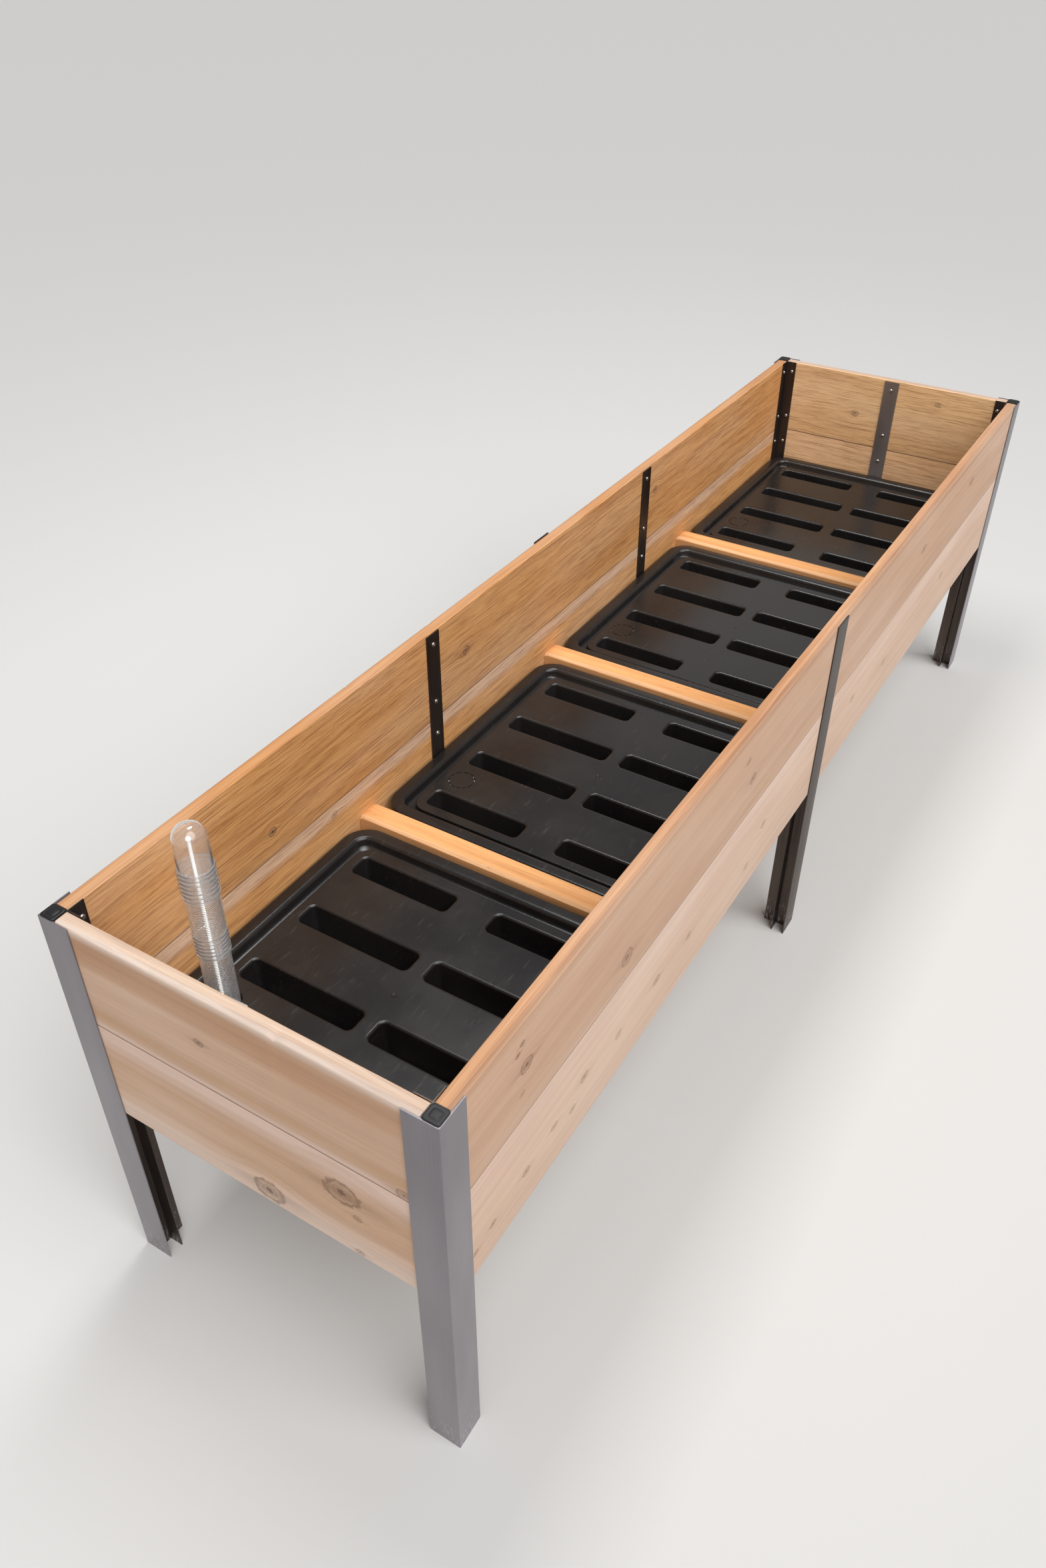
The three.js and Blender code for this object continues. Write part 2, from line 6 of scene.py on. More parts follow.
import bmesh
import bpy
from mathutils import Matrix, Vector, noise
from mathutils.geometry import tessellate_polygon


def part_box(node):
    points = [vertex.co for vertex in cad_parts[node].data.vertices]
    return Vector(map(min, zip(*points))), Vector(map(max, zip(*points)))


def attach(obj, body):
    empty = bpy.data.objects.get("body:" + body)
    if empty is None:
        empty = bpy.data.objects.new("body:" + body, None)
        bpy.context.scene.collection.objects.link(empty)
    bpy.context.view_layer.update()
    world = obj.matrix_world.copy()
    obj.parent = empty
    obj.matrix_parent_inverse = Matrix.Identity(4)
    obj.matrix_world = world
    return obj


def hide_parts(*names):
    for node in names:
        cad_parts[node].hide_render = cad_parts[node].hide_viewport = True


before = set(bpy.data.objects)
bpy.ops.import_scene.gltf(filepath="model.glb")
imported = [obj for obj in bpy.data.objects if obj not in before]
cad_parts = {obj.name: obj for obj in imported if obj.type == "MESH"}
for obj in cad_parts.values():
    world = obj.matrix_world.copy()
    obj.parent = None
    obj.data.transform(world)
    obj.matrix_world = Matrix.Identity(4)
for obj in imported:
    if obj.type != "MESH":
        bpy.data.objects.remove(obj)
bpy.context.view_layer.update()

MM = 0.001
CORNERS = ("front_left", "front_right", "back_right", "back_left")

# ---- sizes shared with the frame

BOARD = 22 * MM
BOARD_JOINT = 552 * MM
SHEET = 2 * MM
LEG_FACE = 51 * MM
CHAMBER = 26.8 * MM
SCREW_HEIGHTS = [402 * MM, 520 * MM, 588 * MM, 704 * MM]
FLANGE_SCREW = 9 * MM
TONGUE_HALF = 3.5 * MM
TONGUE_HEIGHT = 8 * MM
GAP = 0.3 * MM
SOFT = 0.5 * MM         # rounding of an extrusion's edges
CUT = 0.4 * MM          # the last ring of faces at an extrusion's sawn ends
STATION_STEP = 5 * MM   # between the cross sections of a wall board

TRAY_CORNER = 45 * MM
RIM_TOP = 480 * MM
DECK_TOP = 470 * MM
DECK_INSET = 36 * MM
DECK_SKIRT = 463.3 * MM
DECK_THICKNESS = 2.2 * MM
WELL_ROWS = [200 * MM, 67 * MM, -67 * MM, -200 * MM]
WELL_OUTER_Y = 220 * MM
WELL_INNER_Y = [37 * MM, 15 * MM, 15 * MM, 37 * MM]
WELL_HALF_WIDTH = 20 * MM
WELL_FLOOR = 400 * MM
FILL_HOLE = (-136 * MM, 200 * MM)
FILL_RADIUS = 24 * MM


# ---- shaders

def tint(red, green, blue):
    """An 8-bit display colour as a linear one."""
    def linear(value):
        value = value / 255
        return value / 12.92 if value <= 0.04045 else ((value + 0.055) / 1.055) ** 2.4
    return (linear(red), linear(green), linear(blue), 1)


class Shader:
    """A material under construction: each method adds a node and gives back its output socket."""

    def __init__(self, name):
        self.material = bpy.data.materials.new(name)
        self.material.use_nodes = True
        self.tree = self.material.node_tree
        self.skin = self.tree.nodes["Principled BSDF"]

    def feed(self, socket, value):
        if isinstance(value, bpy.types.NodeSocket):
            self.tree.links.new(value, socket)
        else:
            socket.default_value = value

    def set(self, **sockets):
        """Feeds the Principled shader: base_color becomes "Base Color", and so on."""
        for key, value in sockets.items():
            name = key.replace("_", " ").title()
            self.feed(self.skin.inputs[name], value)

    def add(self, kind, feeds, **settings):
        """Outputs of a new node: feeds pairs its inputs with values or with outputs of other nodes."""
        node = self.tree.nodes.new("ShaderNode" + kind)
        for key, value in settings.items():
            setattr(node, key, value)
        for key, value in feeds.items():
            self.feed(node.inputs[key], value)
        return node.outputs

    def attribute(self, name):
        return self.add("Attribute", {}, attribute_name=name)["Vector"]

    def place(self):
        return self.add("TexCoord", {})["Object"]

    def split(self, vector):
        return self.add("SeparateXYZ", {0: vector}).values()

    def join(self, x, y, z):
        return self.add("CombineXYZ", {0: x, 1: y, 2: z})[0]

    def vector_math(self, operation, a, b):
        return self.add("VectorMath", {0: a, 1: b}, operation=operation)["Vector"]

    def length(self, vector):
        return self.add("VectorMath", {0: vector}, operation="LENGTH")["Value"]

    def math(self, operation, a, b=0.0, c=0.0):
        return self.add("Math", {0: a, 1: b, 2: c}, operation=operation)[0]

    def plus(self, a, b):
        return self.math("ADD", a, b)

    def minus(self, a, b):
        return self.math("SUBTRACT", a, b)

    def times(self, a, b):
        return self.math("MULTIPLY", a, b)

    def swing(self, value, size):
        """Noise from 0 to 1 as a swing of half of size both ways."""
        return self.times(self.minus(value, 0.5), size)

    def smooth(self, value, low, high, start=0.0, end=1.0):
        """A soft step: start below low, end above high."""
        feeds = {"Value": value, "From Min": low, "From Max": high, "To Min": start, "To Max": end}
        return self.add("MapRange", feeds, interpolation_type="SMOOTHSTEP")[0]

    def noise(self, vector, scale, detail=2.0, roughness=0.5):
        """Soft noise from 0 to 1, with one scale or a scale for each axis."""
        if isinstance(scale, tuple):
            vector = self.vector_math("MULTIPLY", vector, scale)
            scale = 1.0
        feeds = {"Vector": vector, "Scale": scale, "Detail": detail, "Roughness": roughness}
        return self.add("TexNoise", feeds)[0]

    def mix(self, share, a, b, blend="MIX"):
        return self.add("Mix", {0: share, 6: a, 7: b}, data_type="RGBA", blend_type=blend)[2]

    def ramp(self, value, stops):
        """Colours by value, from a list of (value, colour) with values 0 to 1."""
        outputs = self.add("ValToRGB", {0: value})
        elements = outputs[0].node.color_ramp.elements
        while len(elements) < len(stops):
            elements.new(0.5)
        for element, (place, colour) in zip(elements, sorted(stops, key=lambda stop: stop[0])):
            element.position = place
            element.color = colour
        return outputs[0]

    def bump(self, height, distance, strength=1.0):
        return self.add("Bump", {"Strength": strength, "Distance": distance, "Height": height})[0]


# Tones of the walls' cedar by height: (mm above the ground, red, green, blue). The left end wall's outside
# tones and the right end wall's inside tones are paler than the others: painted light.
FRONT_TONES = [(366, 210, 182, 162), (450, 211, 181, 158), (552, 216, 188, 170), (558, 200, 164, 138),
               (700, 200, 164, 138), (706, 206, 172, 146), (712, 199, 162, 136), (720, 190, 152, 124),
               (730, 190, 152, 124)]
LEFT_LIT_TONES = [(366, 224, 198, 180), (392, 224, 198, 180), (410, 221, 189, 165), (430, 208, 171, 141),
              (470, 208, 171, 141), (490, 201, 162, 130), (510, 207, 172, 147), (530, 223, 193, 175),
              (556, 223, 193, 175), (565, 205, 167, 139), (580, 203, 163, 129), (600, 212, 176, 149),
              (660, 212, 176, 149), (670, 205, 165, 136), (680, 198, 157, 125), (690, 191, 149, 118),
              (712, 191, 149, 118), (718, 209, 179, 157), (724, 218, 194, 177)]
INSIDE_TONES = [(366, 220, 164, 104), (520, 220, 164, 104), (530, 222, 184, 152), (551, 222, 184, 152),
                (554, 222, 165, 104), (730, 216, 158, 98)]
RIGHT_INSIDE_LIT_TONES = [(366, 250, 208, 160), (552, 250, 206, 156), (560, 252, 206, 150),
                      (660, 252, 208, 154), (730, 250, 205, 150)]
TONE_LOW = 360 * MM
TONE_HIGH = 732 * MM

# Knots as (along, height, size, darkness), in mm: along is X on long walls and Y on end walls.
KNOTS = {
    "front_upper_board": [
        (-780, 595, 13, 0.55), (-1040, 644, 11, 0.7), (-1050, 691, 4, 0.9), (-1060, 680, 4, 0.9),
        (-1050, 600, 5, 0.35), (-360, 624, 9, 0.6), (-390, 676, 6, 0.5), (520, 640, 9, 0.5),
        (860, 660, 8, 0.6)],
    "front_lower_board": [
        (-670, 450, 8, 0.45), (-790, 448, 7, 0.4), (-890, 461, 8, 0.5), (-920, 425, 6, 0.45),
        (-970, 444, 7, 0.4), (-1040, 432, 7, 0.5), (-1120, 421, 6, 0.5), (-1160, 411, 5, 0.5),
        (-560, 448, 7, 0.4), (-270, 468, 8, 0.4), (-330, 416, 6, 0.4), (170, 473, 8, 0.4),
        (370, 449, 7, 0.4), (760, 470, 8, 0.4)],
    "left_lower_board": [
        (-16, 391, 20, 0.65), (-146, 487, 22, 0.72), (-166, 449, 6, 0.6), (-163, 372, 6, 0.5)],
    "left_upper_board": [(55, 639, 6, 0.75), (-244, 560, 9, 0.6)],
    "back_upper_board": [(-830, 595, 7, 0.9), (-300, 640, 8, 0.7), (450, 660, 8, 0.7)],
    "back_lower_board": [(-690, 531, 6, 0.7), (300, 450, 8, 0.6)],
    "right_upper_board": [(80, 630, 8, 0.6), (-120, 690, 6, 0.6)],
    "right_lower_board": [(-60, 440, 11, 0.5)],
}


def add_knot(shader, spot, grain, ragged, along, height, radius, darkness):
    """Bends the grain round one knot: gives the bent grain and the shares of its heart and dark outline."""
    size = radius * MM
    offset = shader.vector_math("SUBTRACT", spot, (along * MM, height * MM, 0))
    aside, above, _ = shader.split(offset)
    flat = shader.vector_math("MULTIPLY", offset, (0.8, 1, 0))
    reach = shader.plus(shader.length(flat), shader.times(ragged, size))
    pull = shader.smooth(reach, 0.6 * size, 4.0 * size, 1, 0)
    shift = shader.times(above, shader.times(pull, -0.72))
    bent = shader.vector_math("ADD", grain, shader.join(0.0, shift, 0.0))
    rings = shader.math("SINE", shader.times(reach, 17 / size))
    disc = shader.smooth(reach, 0.7 * size, 1.1 * size, 0.85 * darkness, 0)
    heart = shader.times(disc, shader.math("MULTIPLY_ADD", rings, 0.22, 0.7))
    core = shader.smooth(reach, 0.12 * size, 0.40 * size, darkness, 0)
    outline = shader.times(shader.smooth(reach, 0.78 * size, 0.92 * size),
                           shader.smooth(reach, 0.95 * size, 1.15 * size, 0.75 * darkness, 0))
    level = shader.smooth(shader.math("ABSOLUTE", above), 0.1 * size, 0.7 * size, 1, 0)
    fading = shader.smooth(shader.math("ABSOLUTE", aside), 1.0 * size, 4.5 * size, 0.30 * darkness, 0)
    dark = shader.math("MAXIMUM", shader.math("MAXIMUM", outline, core), shader.times(level, fading))
    return bent, heart, dark


def cedar(name, tones, inside_tones, knots, top_tone, outer_top_tone):
    """Planed cedar outside, rough-sawn golden cedar inside, whose tones are partly painted shade; the top's
    outer arris has a tone of painted light and shade. "grain" runs along the board and differs from board to
    board; "board" is (along, height, depth), with depth 0 in the middle and positive outside."""
    shader = Shader(name)
    grain = shader.attribute("grain")
    spot = shader.attribute("board")
    wander = shader.noise(grain, (3.5, 22, 22), 3, 0.5)
    ragged = shader.swing(shader.noise(spot, 90, 3, 0.6), 0.8)
    knot_share = 0.0
    ring_share = 0.0
    for along, height, radius, darkness in knots:
        grain, heart, ring = add_knot(shader, spot, grain, ragged, along, height, radius, darkness)
        knot_share = shader.math("MAXIMUM", knot_share, heart)
        ring_share = shader.math("MAXIMUM", ring_share, ring)

    growth = shader.noise(grain, (1.3, 75, 75), 4, 0.55)
    fibres = shader.noise(grain, (9, 900, 900), 3, 0.6)
    pores = shader.noise(grain, (45, 1700, 1700), 2, 0.6)
    blotches = shader.noise(grain, (2.2, 9, 9), 2, 0.5)

    _, height, depth = shader.split(spot)
    wavy = shader.plus(height, shader.swing(wander, 14 * MM))
    span = TONE_HIGH - TONE_LOW
    share = shader.math("DIVIDE", shader.minus(wavy, TONE_LOW), span)

    def by_height(stops):
        return shader.ramp(share, [((z * MM - TONE_LOW) / span, tint(*tone)) for z, *tone in stops])

    outside = by_height(tones)
    # The inside tones: the sawn wood's own golden colour, darkened in part as painted shade.
    inside = by_height(inside_tones)
    inner = shader.smooth(depth, -BOARD / 2 + 0.2 * MM, -BOARD / 2 + 1.6 * MM, 1, 0)
    outer = shader.smooth(depth, BOARD / 2 - 2.4 * MM, BOARD / 2 - 0.6 * MM)
    across = shader.plus(depth, shader.swing(wander, 4 * MM))
    # The outer part of each top, over the rounded arris, takes the outer top tone: painted light and shade of
    # the rounding.
    edge = shader.mix(shader.smooth(across, 1 * MM, 6.5 * MM), top_tone, outer_top_tone)
    colour = shader.mix(outer, shader.mix(inner, edge, inside), outside)

    band = shader.smooth(growth, 0.40, 0.62)
    streak = shader.smooth(fibres, 0.42, 0.66)
    on_top = shader.times(shader.minus(1.0, inner), shader.minus(1.0, outer))
    contrast = shader.math("MULTIPLY_ADD", on_top, 0.16, shader.math("MULTIPLY_ADD", inner, 0.08, 0.10))
    colour = shader.mix(shader.times(band, contrast), colour, tint(150, 92, 52), "MULTIPLY")
    colour = shader.mix(shader.times(streak, contrast), colour, tint(140, 84, 48), "MULTIPLY")
    colour = shader.mix(shader.smooth(pores, 0.60, 0.74, 0, 0.16), colour, tint(120, 78, 50))
    colour = shader.mix(shader.smooth(blotches, 0.35, 0.75, 0, 0.12), colour, tint(255, 232, 214), "SCREEN")
    heart_tone = shader.mix(shader.noise(spot, 420, 3, 0.6), tint(122, 92, 72), tint(168, 134, 108))
    colour = shader.mix(knot_share, colour, heart_tone)
    colour = shader.mix(ring_share, colour, tint(88, 62, 48))

    from_joint = shader.math("ABSOLUTE", shader.minus(height, BOARD_JOINT))
    seam = shader.smooth(from_joint, 0.5 * MM, 1.7 * MM, 0.75, 0)
    colour = shader.mix(seam, colour, tint(104, 74, 52))

    sawn = shader.noise(grain, (13, 430, 430), 3, 0.7)
    torn = shader.times(shader.smooth(sawn, 0.49, 0.62, 0, 0.42), inner)
    colour = shader.mix(torn, colour, tint(150, 104, 62), "MULTIPLY")
    raised = shader.times(shader.smooth(sawn, 0.34, 0.46, 0.26, 0), inner)
    colour = shader.mix(raised, colour, tint(244, 200, 142))
    relief = shader.plus(shader.times(fibres, 0.5), shader.times(pores, 0.3))
    rough = shader.times(shader.times(sawn, inner), 2.2)
    normal = shader.bump(shader.plus(relief, rough), 0.35 * MM, 0.8)
    shader.set(base_color=colour, normal=normal, roughness=shader.smooth(fibres, 0.2, 0.8, 0.62, 0.84))
    shader.skin.inputs["Specular IOR Level"].default_value = 0.28
    return shader.material


def joist_cedar():
    """Warm orange planed cedar of the joists, with paler eased edges and small dark flecks."""
    shader = Shader("joist_cedar")
    grain = shader.attribute("grain")
    spot = shader.attribute("board")
    _, height, _ = shader.split(spot)     # the bevel runs from 484 to 490 mm above the ground
    growth = shader.noise(grain, (1.6, 70, 70), 4, 0.55)
    fibres = shader.noise(grain, (10, 800, 800), 3, 0.6)
    flecks = shader.noise(grain, (55, 420, 420), 2, 0.5)
    colour = shader.mix(shader.smooth(growth, 0.38, 0.62), tint(238, 176, 114), tint(221, 158, 99))
    side = shader.smooth(height, 483 * MM, 485 * MM, 1, 0)
    colour = shader.mix(side, colour, tint(222, 166, 111))
    slope = shader.times(shader.smooth(height, 483.6 * MM, 485 * MM),
                         shader.smooth(height, 489.0 * MM, 489.9 * MM, 1, 0))
    colour = shader.mix(shader.times(slope, 0.8), colour, tint(246, 198, 150))
    colour = shader.mix(shader.smooth(fibres, 0.45, 0.7, 0, 0.3), colour, tint(150, 96, 56), "MULTIPLY")
    colour = shader.mix(shader.smooth(flecks, 0.68, 0.78, 0, 0.55), colour, tint(120, 76, 46))
    normal = shader.bump(fibres, 0.3 * MM, 0.7)
    shader.set(base_color=colour, normal=normal, roughness=shader.smooth(growth, 0.3, 0.7, 0.6, 0.75))
    return shader.material


def brushed_metal(name, light, dark, metallic, roughness):
    """Extruded metal: fine lines along Z, a soft cloudy sheen, painted shade that darkens it a little towards
    the top, and scuffs where the feet have met the ground."""
    shader = Shader(name)
    spot = shader.place()
    lines = shader.noise(spot, (900, 900, 5), 3, 0.6)
    clouds = shader.noise(spot, (14, 14, 3), 2, 0.5)
    scratches = shader.noise(spot, (260, 260, 60), 2, 0.5)
    _, _, height = shader.split(spot)
    colour = shader.mix(shader.smooth(clouds, 0.3, 0.7), dark, light)
    colour = shader.mix(shader.smooth(lines, 0.40, 0.62, 0, 0.05), colour, tint(214, 208, 212))
    # Painted shade: darker towards the top.
    colour = shader.mix(shader.smooth(height, 0.25, 0.7, 0, 0.5), colour, tint(206, 204, 206), "MULTIPLY")
    near_foot = shader.smooth(height, 20 * MM, 70 * MM, 1, 0)
    worn = shader.times(near_foot, shader.smooth(scratches, 0.56, 0.64))
    colour = shader.mix(shader.times(worn, 0.5), colour, tint(196, 190, 192))
    gloss = shader.plus(shader.smooth(lines, 0.3, 0.7, roughness - 0.02, roughness + 0.03),
                        shader.times(worn, 0.12))
    shader.set(base_color=colour, roughness=gloss, normal=shader.bump(lines, 0.02 * MM, 0.4))
    shader.skin.inputs["Metallic"].default_value = metallic
    return shader.material


def moulded_plastic(name, base, worn, roughness, dust):
    """Satin moulded plastic with a fine spark texture, faint rubbed marks and specks of dust."""
    shader = Shader(name)
    spot = shader.place()
    grit = shader.noise(spot, 1400, 2, 0.5)
    clouds = shader.noise(spot, 9, 3, 0.55)
    rubs = shader.noise(spot, (24, 150, 60), 3, 0.6)
    specks = shader.noise(spot, 520, 1, 0.4)
    colour = shader.mix(shader.smooth(clouds, 0.35, 0.7), base, worn)
    colour = shader.mix(shader.smooth(rubs, 0.62, 0.76, 0, 0.10), colour, tint(120, 116, 112))
    colour = shader.mix(shader.smooth(specks, 0.80, 0.86, 0, dust), colour, tint(150, 142, 134))
    gloss = shader.plus(shader.smooth(clouds, 0.3, 0.75, roughness - 0.03, roughness + 0.05),
                        shader.smooth(rubs, 0.55, 0.75, 0, 0.08))
    shader.set(base_color=colour, roughness=gloss, normal=shader.bump(grit, 0.03 * MM, 0.12))
    return shader.material


def clear_plastic():
    """Clear blow-moulded plastic with a slight waviness and faint rubbed haze."""
    shader = Shader("clear_plastic")
    spot = shader.place()
    waves = shader.noise(spot, (60, 60, 14), 2, 0.5)
    haze = shader.noise(spot, (110, 110, 34), 3, 0.6)
    shader.set(roughness=shader.smooth(haze, 0.5, 0.85, 0.02, 0.12), normal=shader.bump(waves, 0.2 * MM, 0.4))
    inputs = shader.skin.inputs
    # The white base colour under a transmission weight short of 1 gives a milky tone: partly the plastic's
    # own haze, partly painted highlight standing in for the lights' glints on the ribs.
    inputs["Base Color"].default_value = (0.97, 0.975, 0.98, 1)
    inputs["Transmission Weight"].default_value = 0.965
    inputs["IOR"].default_value = 1.42
    return shader.material


def white_plastic():
    """Smooth white plastic, a little uneven in gloss."""
    shader = Shader("rod_plastic")
    clouds = shader.noise(shader.place(), 60, 2, 0.5)
    shader.set(base_color=shader.mix(clouds, tint(240, 239, 235), tint(250, 249, 246)),
               roughness=shader.smooth(clouds, 0.3, 0.7, 0.3, 0.42))
    return shader.material


def screw_metal():
    """Bright metal with the fine marks of its making."""
    shader = Shader("screw_metal")
    turning = shader.noise(shader.place(), 1600, 2, 0.5)
    shader.set(base_color=shader.mix(turning, tint(176, 172, 168), tint(226, 222, 218)),
               roughness=shader.smooth(turning, 0.3, 0.7, 0.24, 0.36),
               normal=shader.bump(turning, 0.03 * MM, 0.4))
    shader.skin.inputs["Metallic"].default_value = 1.0
    return shader.material


# ---- mesh helpers

def add_object(name, data):
    thing = bpy.data.objects.new(name, data)
    bpy.context.scene.collection.objects.link(thing)
    return thing


def make_piece(name, shape, materials, nodes=(), crease=35, layers=None, picks=None,
               body="planter_frame"):
    """A mesh piece riding a body: shape is its (points, faces), crease the angle in degrees from which an
    edge is sharp, layers its vector attributes, and picks each face's material number."""
    points, faces = shape
    mesh = bpy.data.meshes.new(name)
    mesh.from_pydata([tuple(point) for point in points], [], faces)
    skin = bmesh.new()
    skin.from_mesh(mesh)
    bmesh.ops.recalc_face_normals(skin, faces=skin.faces)
    skin.to_mesh(mesh)
    skin.free()
    mesh.shade_smooth()
    mesh.set_sharp_from_angle(angle=math.radians(crease))
    for key, values in (layers or {}).items():
        layer = mesh.attributes.new(key, "FLOAT_VECTOR", "POINT")
        layer.data.foreach_set("vector", [number for value in values for number in value])
    for material in materials:
        mesh.materials.append(material)
    if picks is not None:
        mesh.polygons.foreach_set("material_index", picks)
    piece = add_object(name, mesh)
    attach(piece, body)
    if nodes:
        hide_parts(*nodes)
    return piece


def box_of(node):
    """Lowest corner, highest corner, middle and half size of a CAD node's box."""
    low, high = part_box(node)
    return low, high, (low + high) / 2, (high - low) / 2


def aimed(spot, direction, front="Z"):
    """The matrix of a thing at spot with its front axis along direction."""
    return Matrix.Translation(spot) @ Vector(direction).to_track_quat(front, "Y").to_matrix().to_4x4()


def rounded(outline, steps=4):
    """A closed outline of (x, y, radius) with every corner that has a radius turned into an arc."""
    points = []
    for i, (x, y, radius) in enumerate(outline):
        corner = Vector((x, y))
        before = Vector(outline[i - 1][:2]) - corner
        after = Vector(outline[(i + 1) % len(outline)][:2]) - corner
        if radius == 0:
            points.append(corner)
            continue
        start = corner + before.normalized() * min(radius, before.length * 0.49)
        end = corner + after.normalized() * min(radius, after.length * 0.49)
        for k in range(steps + 1):
            share = k / steps
            points.append(start.lerp(corner, share).lerp(corner.lerp(end, share), share))
    return points


def mirrored(side):
    """A closed outline of (x, y, radius) from its right-hand side."""
    return side + [(-x, y, radius) for x, y, radius in reversed(side)]


def bands(first, count, rings):
    """Faces between rings of count points each, numbered from first."""
    faces = []
    for ring in range(rings - 1):
        for i in range(count):
            a = first + ring * count + i
            b = first + ring * count + (i + 1) % count
            faces.append((a, b, b + count, a + count))
    return faces


def prism(loops, stations, place):
    """Points and faces of closed outlines pushed through stations: the first is outside, others are holes."""
    points = []
    faces = []
    starts = []
    for loop in loops:
        starts.append(len(points))
        for station in stations:
            points.extend(place(point.x, point.y, station) for point in loop)
        faces.extend(bands(starts[-1], len(loop), len(stations)))
    flat = [[Vector((point.x, point.y, 0)) for point in loop] for loop in loops]
    triangles = tessellate_polygon(flat)
    for end in (0, len(stations) - 1):
        index = [start + end * len(loop) + i for start, loop in zip(starts, loops) for i in range(len(loop))]
        faces.extend(tuple(index[v] for v in triangle) for triangle in triangles)
    return points, faces


def loft(loops, close_ends=True, first=0):
    """Points and faces through closed loops of equal length; first is the number of the first point."""
    count = len(loops[0])
    points = [point for loop in loops for point in loop]
    faces = bands(first, count, len(loops))
    if close_ends:
        last = first + (len(loops) - 1) * count
        faces.append(tuple(range(first, first + count)))
        faces.append(tuple(range(last, last + count)))
    return points, faces


def rectangle(half_x, half_y, radius, steps=8):
    """A rounded rectangle round the origin, anticlockwise."""
    points = []
    for sign_x, sign_y, quarter in ((1, 1, 0), (-1, 1, 1), (-1, -1, 2), (1, -1, 3)):
        for k in range(steps + 1):
            angle = (quarter + k / steps) * math.pi / 2
            points.append((sign_x * (half_x - radius) + radius * math.cos(angle),
                           sign_y * (half_y - radius) + radius * math.sin(angle)))
    return points


def circle(radius, z, segments, centre=(0, 0)):
    """A level ring of points."""
    turns = [2 * math.pi * k / segments for k in range(segments)]
    return [(centre[0] + radius * math.cos(turn), centre[1] + radius * math.sin(turn), z) for turn in turns]


def arc(centre_x, centre_z, radius, start, end, steps):
    """Points of an arc in a profile, angles in degrees."""
    angles = [math.radians(start + (end - start) * k / steps) for k in range(steps + 1)]
    return [(centre_x + radius * math.cos(angle), centre_z + radius * math.sin(angle)) for angle in angles]


def merge(parts):
    """Several (points, faces) as one."""
    points = []
    faces = []
    for part_points, part_faces in parts:
        shift = len(points)
        points.extend(part_points)
        faces.extend(tuple(v + shift for v in face) for face in part_faces)
    return points, faces


# ---- boards

def spread(start, end, count):
    """Values from start to end in equal steps."""
    return [start + (end - start) * k / count for k in range(count + 1)]


def add_timber(node, outline, stations, place, spots, shift, material, crease, trim=None):
    """A piece of timber from its outline. place fills spots with the points before they are bent, and the
    grain is shifted from piece to piece, so that no two look the same."""
    points, faces = prism([outline], stations, place)
    if trim:
        points = trim(points)
    grain = [[a + b for a, b in zip(spot, shift)] for spot in spots]
    make_piece(f"{node}_timber", (points, faces), [material], [node], crease,
               {"grain": grain, "board": spots})


def board_outline(low, high, tongue_on_top):
    """Section of a wall board as (depth, height) with eased arrises; positive depth is the outside."""
    half = BOARD / 2
    groove = TONGUE_HALF + GAP
    if tongue_on_top:
        shoulder = high - TONGUE_HEIGHT
        outline = [(half, low, 1.6 * MM), (half, shoulder, 1.6 * MM), (TONGUE_HALF, shoulder, 0),
                   (TONGUE_HALF, high, 0), (-TONGUE_HALF, high, 0), (-TONGUE_HALF, shoulder, 0),
                   (-half, shoulder, 1.4 * MM), (-half, low, 1.6 * MM)]
    else:
        roof = low + TONGUE_HEIGHT + GAP
        outline = [(half, low, 1.6 * MM), (half, high, 4.5 * MM), (-half, high, 2 * MM),
                   (-half, low, 1.4 * MM), (-groove, low, 0), (-groove, roof, 0), (groove, roof, 0),
                   (groove, low, 0)]
    return rounded(outline, 4)


def add_board(node, number, material):
    """One wall board from its CAD node's box, with wandering edges and a few nicks along its top."""
    low, high, middle, half = box_of(node)
    along_x = half.x > half.y
    start, end = (low.x, high.x) if along_x else (low.y, high.y)
    side = 1 if (middle.y if along_x else middle.x) > 0 else -1
    outline = board_outline(low.z, high.z, node.endswith("lower_board"))
    dice = random.Random(100 + number)
    nicks = [(dice.uniform(start + 0.08, end - 0.08), dice.uniform(0.003, 0.009), dice.uniform(0.3, 1.1))
             for _ in range(6 if along_x else 3)]
    if node == "left_upper_board":
        nicks.append((-0.075, 0.009, 2.2))     # (along, half length, depth in mm), deeper than the others
    spots = []

    def place(depth, height, along):
        wobble = noise.noise(Vector((along * 5, height * 8, number * 3.7 + depth * 20))) * 0.22 * MM
        new_depth = depth - abs(wobble) * (1 if depth > 0 else -1)
        new_height = height
        if height > high.z - 3 * MM:
            new_height -= 0.1 * MM * abs(noise.noise(Vector((along * 14, number, depth * 60))))
            for centre, reach, deep in nicks:
                bite = max(0, 1 - ((along - centre) / reach) ** 2) * deep * MM
                new_height -= bite * (1 if depth > 6 * MM else 0)
        spots.append((along, height, depth))
        if along_x:
            return (along, middle.y + side * new_depth, new_height)
        return (middle.x + side * new_depth, along, new_height)

    add_timber(node, outline, spread(start, end, round((end - start) / STATION_STEP)), place, spots,
               (number * 7.31, number * 1.37, number * 2.11), material, 40)


